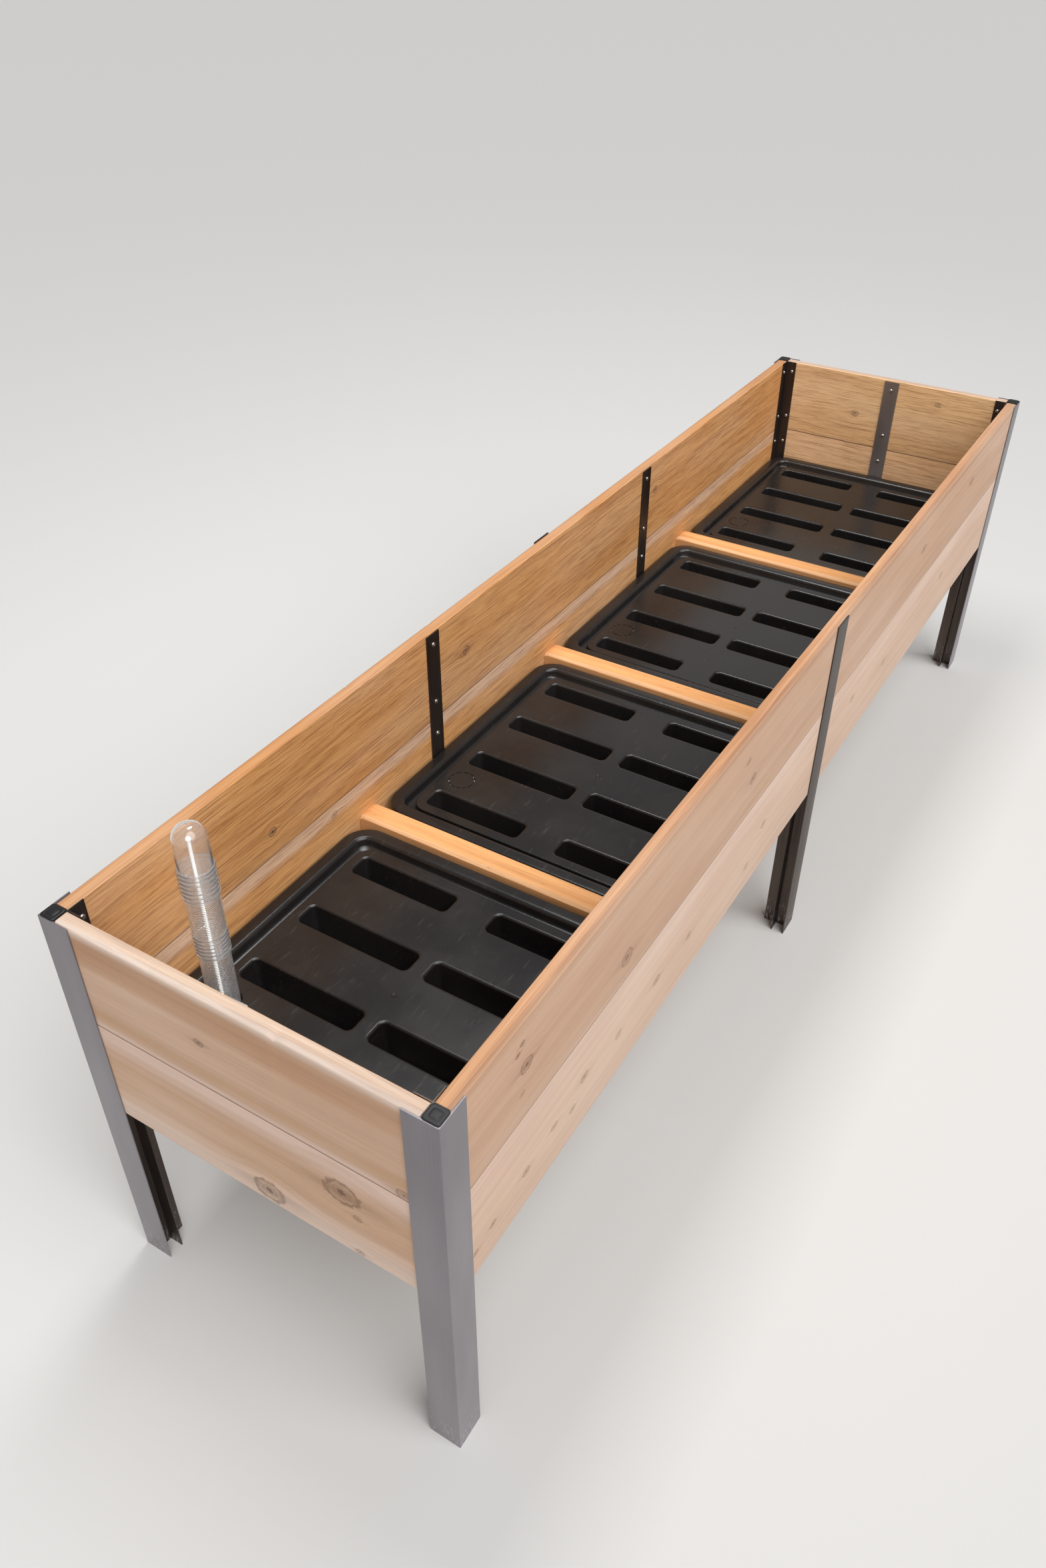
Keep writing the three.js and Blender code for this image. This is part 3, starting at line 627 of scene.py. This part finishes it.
def add_boards():
    # The tops of the end walls are paler than those of the long walls: painted light. Each top's second tone
    # lies on its rounded outer arris as painted light and shade.
    lit_pale_top = (tint(220, 192, 168), tint(218, 200, 186))
    warm_top = (tint(210, 160, 120), tint(182, 142, 112))
    back_top = (tint(203, 148, 98), tint(198, 142, 94))
    walls = [("front", FRONT_TONES, INSIDE_TONES, warm_top), ("back", FRONT_TONES, INSIDE_TONES, back_top),
             ("left", LEFT_LIT_TONES, INSIDE_TONES, lit_pale_top),
             ("right", FRONT_TONES, RIGHT_INSIDE_LIT_TONES, lit_pale_top)]
    number = 1
    for side, tones, inside_tones, (top, outer_top) in walls:
        for row in ("lower", "upper"):
            node = f"{side}_{row}_board"
            material = cedar(f"cedar_{side}_{row}", tones, inside_tones, KNOTS[node], top, outer_top)
            add_board(node, number, material)
            number += 1


# ---- joists, slats and rails

def add_joist(node, number, material):
    """A cross joist with bevelled top edges, its ends cut back at the foot to clear the support rails."""
    low, high, middle, half = box_of(node)
    ease = 6 * MM
    outline = rounded(mirrored([(half.x, low.z, 1 * MM), (half.x, high.z - ease, 1.5 * MM),
                                (half.x - ease, high.z, 1.5 * MM)]), 3)
    notch_height = 385.6 * MM
    notch_depth = 2.8 * MM
    spots = []

    def place(across, height, along):
        spots.append((along, height, across))
        wobble = noise.noise(Vector((along * 9, height * 12, number * 5.1))) * 0.15 * MM
        return (middle.x + across - math.copysign(abs(wobble), across), along, height)

    def trim(points):
        cut = []
        for (x, y, z), (along, height, _) in zip(points, spots):
            end = min(along - low.y, high.y - along)
            if height < notch_height and end < notch_depth:
                y += (-1 if y > 0 else 1) * (notch_depth - end)
            if height > middle.z:
                z -= max(0, 4 * MM - end) * 0.8
            cut.append((x, y, z))
        return cut

    add_timber(node, outline, spread(low.y, high.y, 90), place, spots, [40 + number * 3.17] * 3, material,
               30, trim)


def add_slat(node, number, material):
    """A plain floor slat with eased edges."""
    low, high, centre, half = box_of(node)
    outline = rounded(mirrored([(half.x, -half.z, 2 * MM), (half.x, half.z, 2 * MM)]), 3)
    spots = []

    def place(across, height, along):
        spots.append((along, across, height))
        wobble = abs(noise.noise(Vector((along * 7, across * 9, number * 2.9)))) * 0.15 * MM
        return (centre.x + across - math.copysign(wobble, across), along, centre.z + height)

    add_timber(node, outline, spread(low.y, high.y, 60), place, spots, [80 + number * 2.23] * 3, material,
               30)


def add_supports(metal):
    joist = joist_cedar()
    for number in (1, 2, 3):
        add_joist(f"cross_joist_{number}", number, joist)
    for number in range(1, 9):
        add_slat(f"floor_slat_{number}", number, joist)
    for side, sign in (("front", -1), ("back", 1)):
        node = f"support_rail_{side}"
        low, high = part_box(node)
        wall = low.y if sign < 0 else high.y
        leg = high.y - low.y
        rise = high.z - low.z
        outline = rounded([(0, 0, 0.8 * MM), (leg, 0, 0.6 * MM), (leg, SHEET, 0.6 * MM),
                           (SHEET, SHEET, 0.8 * MM), (SHEET, rise, 0.6 * MM), (0, rise, 0.6 * MM)], 3)

        def place(across, height, along):
            return (along, wall - sign * across, low.z + height)

        make_piece(f"{node}_angle", prism([outline], [low.x, high.x], place), [metal],
                   [node])


# ---- legs, caps, straps and screws

def screw_head(turn):
    """A domed pan head on z = 0 with a cross recess at an angle, pointing to +Z."""
    radius = 4.4 * MM
    rise = 2.4 * MM
    segments = 24
    profile = [(1, 0), (1, 0.25), (0.94, 0.5), (0.8, 0.76), (0.6, 0.92), (0.45, 0.98), (0.2, 1)]
    loops = [circle(share * radius, z * rise, segments) for share, z in profile]
    recess = []
    floor = []
    for x, y, _ in circle(1, 0, segments):
        arm = abs(math.cos(2 * (math.atan2(y, x) - turn)))
        reach = radius * (0.14 + 0.36 * arm ** 3)
        recess.append((reach * x, reach * y, 0.99 * rise))
        floor.append((0.6 * reach * x, 0.6 * reach * y, 0.35 * rise))
    loops[-1] = [((a[0] + b[0]) / 2, (a[1] + b[1]) / 2, rise) for a, b in zip(loops[-2], recess)]
    return loft(loops + [recess, floor])


def add_screws(node, places, bright):
    """Screw heads as one piece, from a list of (spot, direction, turn of the cross)."""
    heads = []
    for spot, direction, turn in places:
        matrix = aimed(spot, direction)
        points, faces = screw_head(turn)
        heads.append(([tuple(matrix @ Vector(point)) for point in points], faces))
    make_piece(f"{node}_screws", merge(heads), [bright], (), 40)


def leg_outline():
    """Section of a corner extrusion with its outer corner at the origin, and its hollow corner."""
    inner = CHAMBER - SHEET
    arm = [(LEG_FACE, 0), (LEG_FACE, SHEET), (CHAMBER, SHEET), (CHAMBER, inner), (LEG_FACE, inner),
           (LEG_FACE, CHAMBER)]
    inward = arm + [(CHAMBER, CHAMBER)] + [(y, x) for x, y in reversed(arm)]
    outer = rounded([(0, 0, 1.2 * MM)] + [(x, y, SOFT) for x, y in inward], 3)
    corners = ((SHEET, SHEET), (inner, SHEET), (inner, inner), (SHEET, inner))
    return outer, rounded([(x, y, SOFT) for x, y in corners], 3)


def add_corner_leg(corner, metal, dark, bright):
    node = f"corner_leg_{corner}"
    low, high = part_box(node)
    sign_x = -1 if corner.endswith("left") else 1
    sign_y = -1 if corner.startswith("front") else 1
    outer_x = low.x if sign_x < 0 else high.x
    outer_y = low.y if sign_y < 0 else high.y
    outer, hollow = leg_outline()

    def place(a, b, height):
        return (outer_x - sign_x * a, outer_y - sign_y * b, height)

    points, faces = prism([outer, hollow], [low.z, low.z + CUT, high.z - CUT, high.z], place)
    # Faces of the inner flanges, round the hollow corner, take the dark metal: painted shade on the same
    # extrusion.
    behind = CHAMBER - SHEET - 0.4 * MM
    clear = SHEET + 1 * MM
    picks = []
    for face in faces:
        middle = sum((Vector(points[v]) for v in face), Vector()) / len(face)
        a = (outer_x - middle.x) * sign_x
        b = (outer_y - middle.y) * sign_y
        inside = a > behind and b > clear or b > behind and a > clear
        picks.append(1 if inside else 0)
    make_piece(f"{node}_extrusion", (points, faces), [metal, dark], [node], 30, None, picks)
    reach = LEG_FACE - FLANGE_SCREW
    places = []
    for number, height in enumerate(SCREW_HEIGHTS):
        places.append((place(reach, CHAMBER, height), (0, -sign_y, 0), 0.5 * number + 1))
        places.append((place(CHAMBER, reach, height), (-sign_x, 0, 0), 0.5 * number))
    add_screws(node, places, bright)


def add_leg_cap(corner, material):
    """Square cap with soft sides and a shallow dome inside a fine groove, and its plug below."""
    node = f"leg_cap_{corner}"
    low, high, centre, size = box_of(node)
    half = size.x
    plug = 10.9 * MM
    seat = 728.3 * MM
    top = high.z
    dome = 0.6 * half
    profile = [(plug, 3 * MM, low.z), (plug, 3 * MM, seat), (half - 0.3 * MM, 3.8 * MM, seat),
               (half, 4 * MM, seat + 0.4 * MM), (half, 4 * MM, top - 1.5 * MM),
               (half - 0.35 * MM, 3.8 * MM, top - 0.9 * MM), (half - 1.1 * MM, 3.4 * MM, top - 0.6 * MM),
               (dome + 0.7 * MM, 3 * MM, top - 0.6 * MM), (dome, 3 * MM, top - 0.9 * MM),
               (dome - 0.7 * MM, 3 * MM, top - 0.5 * MM), (dome - 3 * MM, 2.6 * MM, top - 0.1 * MM),
               (dome - 5.2 * MM, 1.5 * MM, top)]
    loops = [[(centre.x + x, centre.y + y, z) for x, y in rectangle(reach, reach, radius, 5)]
             for reach, radius, z in profile]
    make_piece(f"{node}_moulding", loft(loops), [material], [node], 50)


def add_middle_leg(side, metal):
    """A middle leg: its outer plate over the whole height, and the flanges behind it below the boards."""
    node = f"middle_leg_{side}"
    low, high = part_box(node)
    sign = -1 if side == "front" else 1
    outer_y = low.y if sign < 0 else high.y
    half = LEG_FACE / 2
    inner = CHAMBER - SHEET
    web = SHEET / 2
    foot_top = 364.7 * MM

    def place(a, b, height):
        return (a, outer_y - sign * b, height)

    skin = SHEET + 0.01 * MM
    behind = rounded(mirrored([
        (half, SHEET, 0), (half, skin, 0), (web, skin, 0), (web, inner, SOFT), (half, inner, SOFT),
        (half, CHAMBER, SOFT), (web, CHAMBER, SOFT), (web, LEG_FACE, SOFT)]), 3)
    plate = rounded(mirrored([(half, 0, 0.6 * MM), (half, SHEET, 0)]), 3)
    whole = prism([plate], [low.z, low.z + CUT, high.z - CUT, high.z], place)
    make_piece(f"{node}_plate", whole, [metal], [node], 30)
    foot = prism([behind], [low.z, low.z + CUT, foot_top], place)
    make_piece(f"{node}_foot", foot, [metal], (), 30)


def add_strap(node, metal, bright):
    """A flat bar down the inside of a wall, with its screws."""
    low, high, centre, size = box_of(node)
    along_x = size.x > size.y
    side = 1 if (centre.y if along_x else centre.x) > 0 else -1
    wall = (high.y if side > 0 else low.y) if along_x else (high.x if side > 0 else low.x)
    half = 18 * MM
    outline = rounded(mirrored([(half, low.z, 1 * MM), (half, high.z, 1 * MM)]), 3)

    def place(across, height, depth):
        if along_x:
            return (centre.x + across, wall - side * depth, height)
        return (wall - side * depth, centre.y + across, height)

    bar = prism([outline], [0, SHEET - 0.3 * MM, SHEET], place)
    make_piece(f"{node}_bar", bar, [metal], [node], 30)
    facing = (0, -side, 0) if along_x else (-side, 0, 0)
    places = [(place(0, height, SHEET), facing, 0.7 * number) for number, height in enumerate(SCREW_HEIGHTS)]
    add_screws(node, places, bright)


def add_metalwork(metal):
    # The dark metal is also painted shade on the corner legs' inner flanges.
    dark = brushed_metal("dark_metal", tint(92, 80, 72), tint(66, 56, 50), 0.85, 0.42)
    grey = brushed_metal("grey_strap", tint(190, 188, 188), tint(158, 155, 155), 0.85, 0.40)
    bright = screw_metal()
    cap = moulded_plastic("cap_plastic", tint(20, 20, 20), tint(30, 30, 30), 0.5, 0.15)
    for corner in CORNERS:
        add_corner_leg(corner, metal, dark, bright)
        add_leg_cap(corner, cap)
    for side in ("front", "back"):
        add_middle_leg(side, dark)
    for place in ("front_left", "front_right", "back_left", "back_right"):
        add_strap(f"wall_strap_{place}", dark, bright)
    for side in ("left", "right"):
        add_strap(f"end_strap_{side}", grey, bright)


# ---- inserts

def pan_profile(bottom):
    """Skin of a pan as (inset, height): up its outside, over the rim and down to the inside of its floor."""
    wall = 3 * MM
    skirt = 452 * MM
    ledge = 463 * MM
    land = 17 * MM
    shoulder = 8 * MM
    foot = 27 * MM
    return [
        (46 * MM, bottom), (44.5 * MM, bottom + 2 * MM), (43 * MM, ledge - wall - 1.5 * MM),
        (42 * MM, ledge - wall), (24.5 * MM, ledge - wall), (24 * MM, ledge - wall + 0.5 * MM),
        *arc(land, RIM_TOP - shoulder, shoulder - wall, 0, 90, 4),
        (3.5 * MM, RIM_TOP - wall), (wall, RIM_TOP - wall - 0.5 * MM), (wall, skirt + 0.5 * MM),
        (2.5 * MM, skirt), (0.5 * MM, skirt), (0, skirt + 0.5 * MM),
        *arc(4 * MM, RIM_TOP - 4 * MM, 4 * MM, 180, 90, 6),
        *arc(land, RIM_TOP - shoulder, shoulder, 90, 8, 8),
        (26 * MM, ledge + 2.5 * MM), (foot + 0.4 * MM, ledge + 0.8 * MM), (foot + 1.6 * MM, ledge),
        (45 * MM, ledge), (46.5 * MM, ledge - 1.5 * MM),
        (49.5 * MM, bottom + wall + 2.5 * MM), (52 * MM, bottom + wall),
    ]


def add_pan(number, plastic):
    node = f"reservoir_pan_{number}"
    low, _, centre, half = box_of(node)
    loops = []
    for inset, height in pan_profile(low.z):
        radius = max(TRAY_CORNER - inset, 6 * MM)
        loops.append([(centre.x + x, centre.y + y, height)
                      for x, y in rectangle(half.x - inset, half.y - inset, radius, 14)])
    make_piece(f"{node}_moulding", loft(loops), [plastic], [node], 60,
               body=f"insert_{number}")


def wells():
    """Middle and half size of the eight wells, round the middle of an insert."""
    for row_x, inner_y in zip(WELL_ROWS, WELL_INNER_Y):
        half = (WELL_OUTER_Y - inner_y) / 2
        for side in (-1, 1):
            yield row_x, side * (WELL_OUTER_Y - half), half


def deck_skin(half, open_hole):
    """The upper skin of a deck as (points, faces): a flat plate with a soft lip into each well, a hole for
    the fill tube or the ring of a closed one, and the mark of the moulding's gate in its middle."""
    points = []
    faces = []

    def add_loops(loops, closed):
        part_points, part_faces = loft(loops, False, len(points))
        points.extend(part_points)
        faces.extend(part_faces)
        last = len(points) - len(loops[0])
        if closed:
            faces.append(tuple(range(last, last + len(loops[0]))))
        return last

    def loop_at(centre_x, centre_y, size_x, size_y, radius, height, steps=8):
        return [(centre_x + x, centre_y + y, height) for x, y in rectangle(size_x, size_y, radius, steps)]

    corner = TRAY_CORNER - DECK_INSET / 2
    ease = 1.2 * MM
    edge = [(0, DECK_SKIRT), (0, DECK_TOP - ease)]
    edge += [(ease - ease * math.cos(t), DECK_TOP - ease + ease * math.sin(t)) for t in (0.4, 0.8, 1.2)]
    edge += [(ease, DECK_TOP), (3 * MM, DECK_TOP)]
    rim = [loop_at(0, 0, half.x - inset, half.y - inset, corner - inset, height, 12)
           for inset, height in edge]
    outlines = [(add_loops(rim, False), len(rim[0]))]
    lip = 4.5 * MM
    draft = 3 * MM
    foot = 5 * MM
    slit = (5 * MM, 55 * MM, 4.9 * MM)     # half width, half length and corner radius
    for well_x, well_y, well_half in wells():
        profile = [(-lip - 1.5 * MM, DECK_TOP)]
        for k in range(7):
            angle = math.pi / 2 * k / 6
            profile.append((-lip + lip * math.sin(angle), DECK_TOP - lip + lip * math.cos(angle)))
        profile.append((draft - 0.3 * MM, WELL_FLOOR + foot))
        for k in range(1, 5):
            angle = math.pi / 2 * k / 4
            profile.append((draft + foot * (1 - math.cos(angle)), WELL_FLOOR + foot * (1 - math.sin(angle))))
        loops = [loop_at(well_x, well_y, WELL_HALF_WIDTH - inset, well_half - inset,
                         max(9 * MM - inset, 3 * MM), height) for inset, height in profile]
        loops += [loop_at(well_x, well_y, *slit, WELL_FLOOR - fall) for fall in (0, 2.5 * MM)]
        outlines.append((len(points), len(loops[0])))
        add_loops(loops, False)

    segments = 60
    if open_hole:
        profile = [(FILL_RADIUS + 2.4 * MM, 0), (FILL_RADIUS + 1.2 * MM, 0),
                   (FILL_RADIUS + 0.4 * MM, -0.3 * MM), (FILL_RADIUS, -1.2 * MM), (FILL_RADIUS, -3 * MM)]
        outlines.append((len(points), segments))
        add_loops([circle(radius, DECK_TOP + fall, segments, FILL_HOLE) for radius, fall in profile], False)
    else:
        groove = 1.5 * MM
        profile = [(FILL_RADIUS + 2 * MM, 0), (FILL_RADIUS, 0), (FILL_RADIUS - 0.5 * MM, -groove),
                   (FILL_RADIUS - 2.2 * MM, -groove), (FILL_RADIUS - 2.7 * MM, 0), (FILL_RADIUS - 5 * MM, 0),
                   (FILL_RADIUS - 8 * MM, 0)]
        outlines.append((len(points), segments))
        rings = []
        for radius, fall in profile:
            ring = circle(radius, DECK_TOP + fall, segments, FILL_HOLE)
            rings.append([(x, y, z if k % 5 else DECK_TOP) for k, (x, y, z) in enumerate(ring)])
        add_loops(rings, True)

    gate = [(5.5, 0), (4.8, 0), (4.4, 0.5), (3.6, 0.5), (3.2, 0), (2.6, -0.1)]
    gate_segments = 20
    outlines.append((len(points), gate_segments))
    add_loops([circle(radius * MM, DECK_TOP + rise * MM, gate_segments) for radius, rise in gate], True)

    flat = [[Vector(points[start + i]) for i in range(count)] for start, count in outlines]
    index = [start + i for start, count in outlines for i in range(count)]
    for triangle in tessellate_polygon(flat):
        faces.append(tuple(index[v] for v in triangle))
    return points, faces


def add_deck(number, plastic):
    node = f"wicking_deck_{number}"
    _, _, centre, half = box_of(node)
    points, faces = deck_skin(half, number == 1)
    points = [(x + centre.x, y + centre.y, z) for x, y, z in points]
    piece = make_piece(f"{node}_moulding", (points, faces), [plastic], [node], 50,
                       body=f"insert_{number}")
    thicken = piece.modifiers.new("thickness", "SOLIDIFY")
    thicken.thickness = DECK_THICKNESS
    thicken.offset = -1


def add_inserts():
    plastic = moulded_plastic("insert_plastic", tint(30, 28, 28), tint(36, 34, 33), 0.27, 0.3)
    for number in (1, 2, 3, 4):
        add_pan(number, plastic)
        add_deck(number, plastic)


# ---- fill tube

def ribs(radius, low, high, pitch, rise):
    """Rounded ribs of a collar or fine rings of a tube wall, as (radius, z)."""
    count = max(1, round((high - low) / pitch))
    step = (high - low) / count
    half = min(rise, 0.45 * step)
    points = []
    for rib in range(count):
        middle = low + (rib + 0.5) * step
        for angle in (-90, -45, 0, 45, 90):
            turn = math.radians(angle)
            points.append((radius + rise * math.cos(turn), middle + half * math.sin(turn)))
    return points


def turned(profile, centre, segments=64):
    return [circle(radius, z, segments, centre) for radius, z in profile]


def ring_solid(profile, centre):
    """A turned body whose profile closes on itself."""
    loops = turned(profile, centre)
    points = [point for loop in loops for point in loop]
    faces = bands(0, len(loops[0]), len(loops) + 1)
    return points, [tuple(v % len(points) for v in face) for face in faces]


def add_clear(node, profile, centre, plastic, body):
    """A clear piece of the tube. Clear plastic throws almost no shadow on the rod inside it."""
    piece = make_piece(f"{node}_wall", ring_solid(profile, centre), [plastic], [node], 50,
                       body=body)
    piece.visible_shadow = False


def add_tube():
    plastic = clear_plastic()
    wall = 1.6 * MM
    fine = 0.8 * MM
    pitch = 3.2 * MM
    low, high, centre, _ = box_of("fill_tube_lower")
    outer = 21.5 * MM
    bore = 20.3 * MM
    profile = [(bore, low.z), (outer, low.z), *ribs(outer, low.z + 4 * MM, high.z - 4 * MM, pitch, fine),
               (outer, high.z), (bore, high.z)]
    add_clear("fill_tube_lower", profile, centre, plastic, "fill_tube")

    low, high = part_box("fill_tube_upper")
    outer = 23.1 * MM
    socket = 22.5 * MM
    bore = 21.9 * MM
    collar_top = 614 * MM
    lower_top = 612 * MM
    profile = [(socket, low.z), (outer, low.z), *ribs(outer, low.z, collar_top, 6.8 * MM, 1.5 * MM),
               *ribs(outer, collar_top + 2 * MM, high.z - 4 * MM, pitch, fine), (outer, high.z),
               (bore, high.z), (bore, lower_top + 0.6 * MM), (socket, lower_top + 0.3 * MM)]
    add_clear("fill_tube_upper", profile, centre, plastic, "fill_tube")

    low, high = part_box("fill_tube_cap")
    socket = 24.2 * MM
    outer = 25.0 * MM
    dome = 24.0 * MM
    upper_top = 730 * MM
    dome_z = high.z - dome
    profile = [(socket, low.z), (outer, low.z), *ribs(outer, low.z, upper_top + 2 * MM, 7.4 * MM, 1.3 * MM),
               (dome, upper_top + 5 * MM), (dome, dome_z - 10 * MM),
               *arc(0, dome_z, dome, 0, 87, 14), (1.2 * MM, high.z - 0.1 * MM), (0.6 * MM, high.z),
               (0.6 * MM, high.z - wall), *arc(0, dome_z, dome - wall, 87, 0, 14),
               (dome - wall, upper_top + 0.3 * MM), (socket, upper_top + 0.3 * MM)]
    add_clear("fill_tube_cap", profile, centre, plastic, "tube_cap")


def add_level_rod():
    """The white rod in the tube, with a float at its foot and a round knob on top."""
    low, high, centre, size = box_of("level_rod")
    buoy = size.x
    stem = 2.5 * MM
    knob = 3.8 * MM
    ease = 2 * MM
    profile = [(buoy - ease, low.z), *arc(buoy - ease, low.z + ease, ease, -90, 0, 4),
               *arc(buoy - ease, 416 * MM, ease, 0, 90, 4), (stem + 1 * MM, 418 * MM), (stem, 419 * MM),
               (stem, high.z - 2 * knob), *arc(0, high.z - knob, knob, -45, 85, 8)]
    make_piece("level_rod_body", loft(turned(profile, centre, 32)), [white_plastic()],
               ["level_rod"], 50, body="level_rod")


# ---- studio

def add_floor():
    """A plain pale floor under the feet."""
    shader = Shader("floor")
    shader.set(base_color=tint(214, 213, 211), roughness=0.85)
    mesh = bpy.data.meshes.new("floor")
    reach = 60
    steps = 8
    row = steps + 1
    ticks = spread(-reach, reach, steps)
    faces = [(a, a + 1, a + row + 1, a + row) for j in range(steps) for a in range(j * row, j * row + steps)]
    mesh.from_pydata([(x, y, 0) for y in ticks for x in ticks], [], faces)
    mesh.materials.append(shader.material)
    floor = add_object("floor", mesh)


def add_light(name, spot, aim, size_x, size_y, power):
    lamp = bpy.data.lights.new(name, "AREA")
    lamp.shape = "RECTANGLE"
    lamp.size = size_x
    lamp.size_y = size_y
    lamp.energy = power
    add_object(name, lamp).matrix_world = aimed(spot, Vector(aim) - Vector(spot), "-Z")


def add_studio():
    """A large soft key from high in front, an overhead softbox, a fill from the left, a dim card at the
    far end whose reflection lies on the inserts, and a grey surround."""
    world = bpy.data.worlds.new("studio")
    world.use_nodes = True
    background = world.node_tree.nodes["Background"]
    background.inputs["Color"].default_value = (1, 1, 1, 1)
    background.inputs["Strength"].default_value = 0.26
    bpy.context.scene.world = world
    key = bpy.data.lights.new("key", "SUN")
    key.energy = 2.75
    key.angle = math.radians(55)
    add_object("key", key).rotation_euler = Vector((0.28, 0.77, -1.0)).to_track_quat("-Z", "Y").to_euler()
    add_light("overhead", (0.0, 0.45, 3.4), (0, 0.1, 0.5), 1.5, 0.7, 42)
    add_light("left_fill", (-4.2, -0.6, 1.7), (-0.6, 0, 0.55), 1.6, 2.0, 7)
    add_light("far_card", (3.6, 1.2, 2.6), (0.3, 0, 0.5), 2.2, 1.4, 4)
    bpy.context.scene.view_settings.view_transform = "Standard"


def add_camera():
    """The camera, by its place, its heading from +Y towards -X, its fall below the horizon and its roll."""
    spot = Vector((-1.83097, -0.77984, 1.78131))
    heading = math.radians(-58.49197)
    fall = math.radians(37.85673)
    roll = math.radians(0.09125)
    ahead = Vector((-math.sin(heading) * math.cos(fall), math.cos(heading) * math.cos(fall), -math.sin(fall)))
    right = ahead.cross(Vector((0, 0, 1))).normalized()
    up = right.cross(ahead)
    side = math.cos(roll) * right + math.sin(roll) * up
    top = math.cos(roll) * up - math.sin(roll) * right
    lens = bpy.data.cameras.new("camera")
    lens.sensor_width = 36
    lens.lens = 27.807
    camera = add_object("camera", lens)
    turn = Matrix((side, top, -ahead)).transposed().to_4x4()
    camera.matrix_world = Matrix.Translation(spot) @ turn
    bpy.context.scene.camera = camera


leg_metal = brushed_metal("leg_aluminium", tint(142, 137, 142), tint(128, 124, 129), 0.4, 0.36)
add_boards()
add_supports(leg_metal)
add_metalwork(leg_metal)
add_inserts()
add_tube()
add_level_rod()
add_floor()
add_studio()
add_camera()
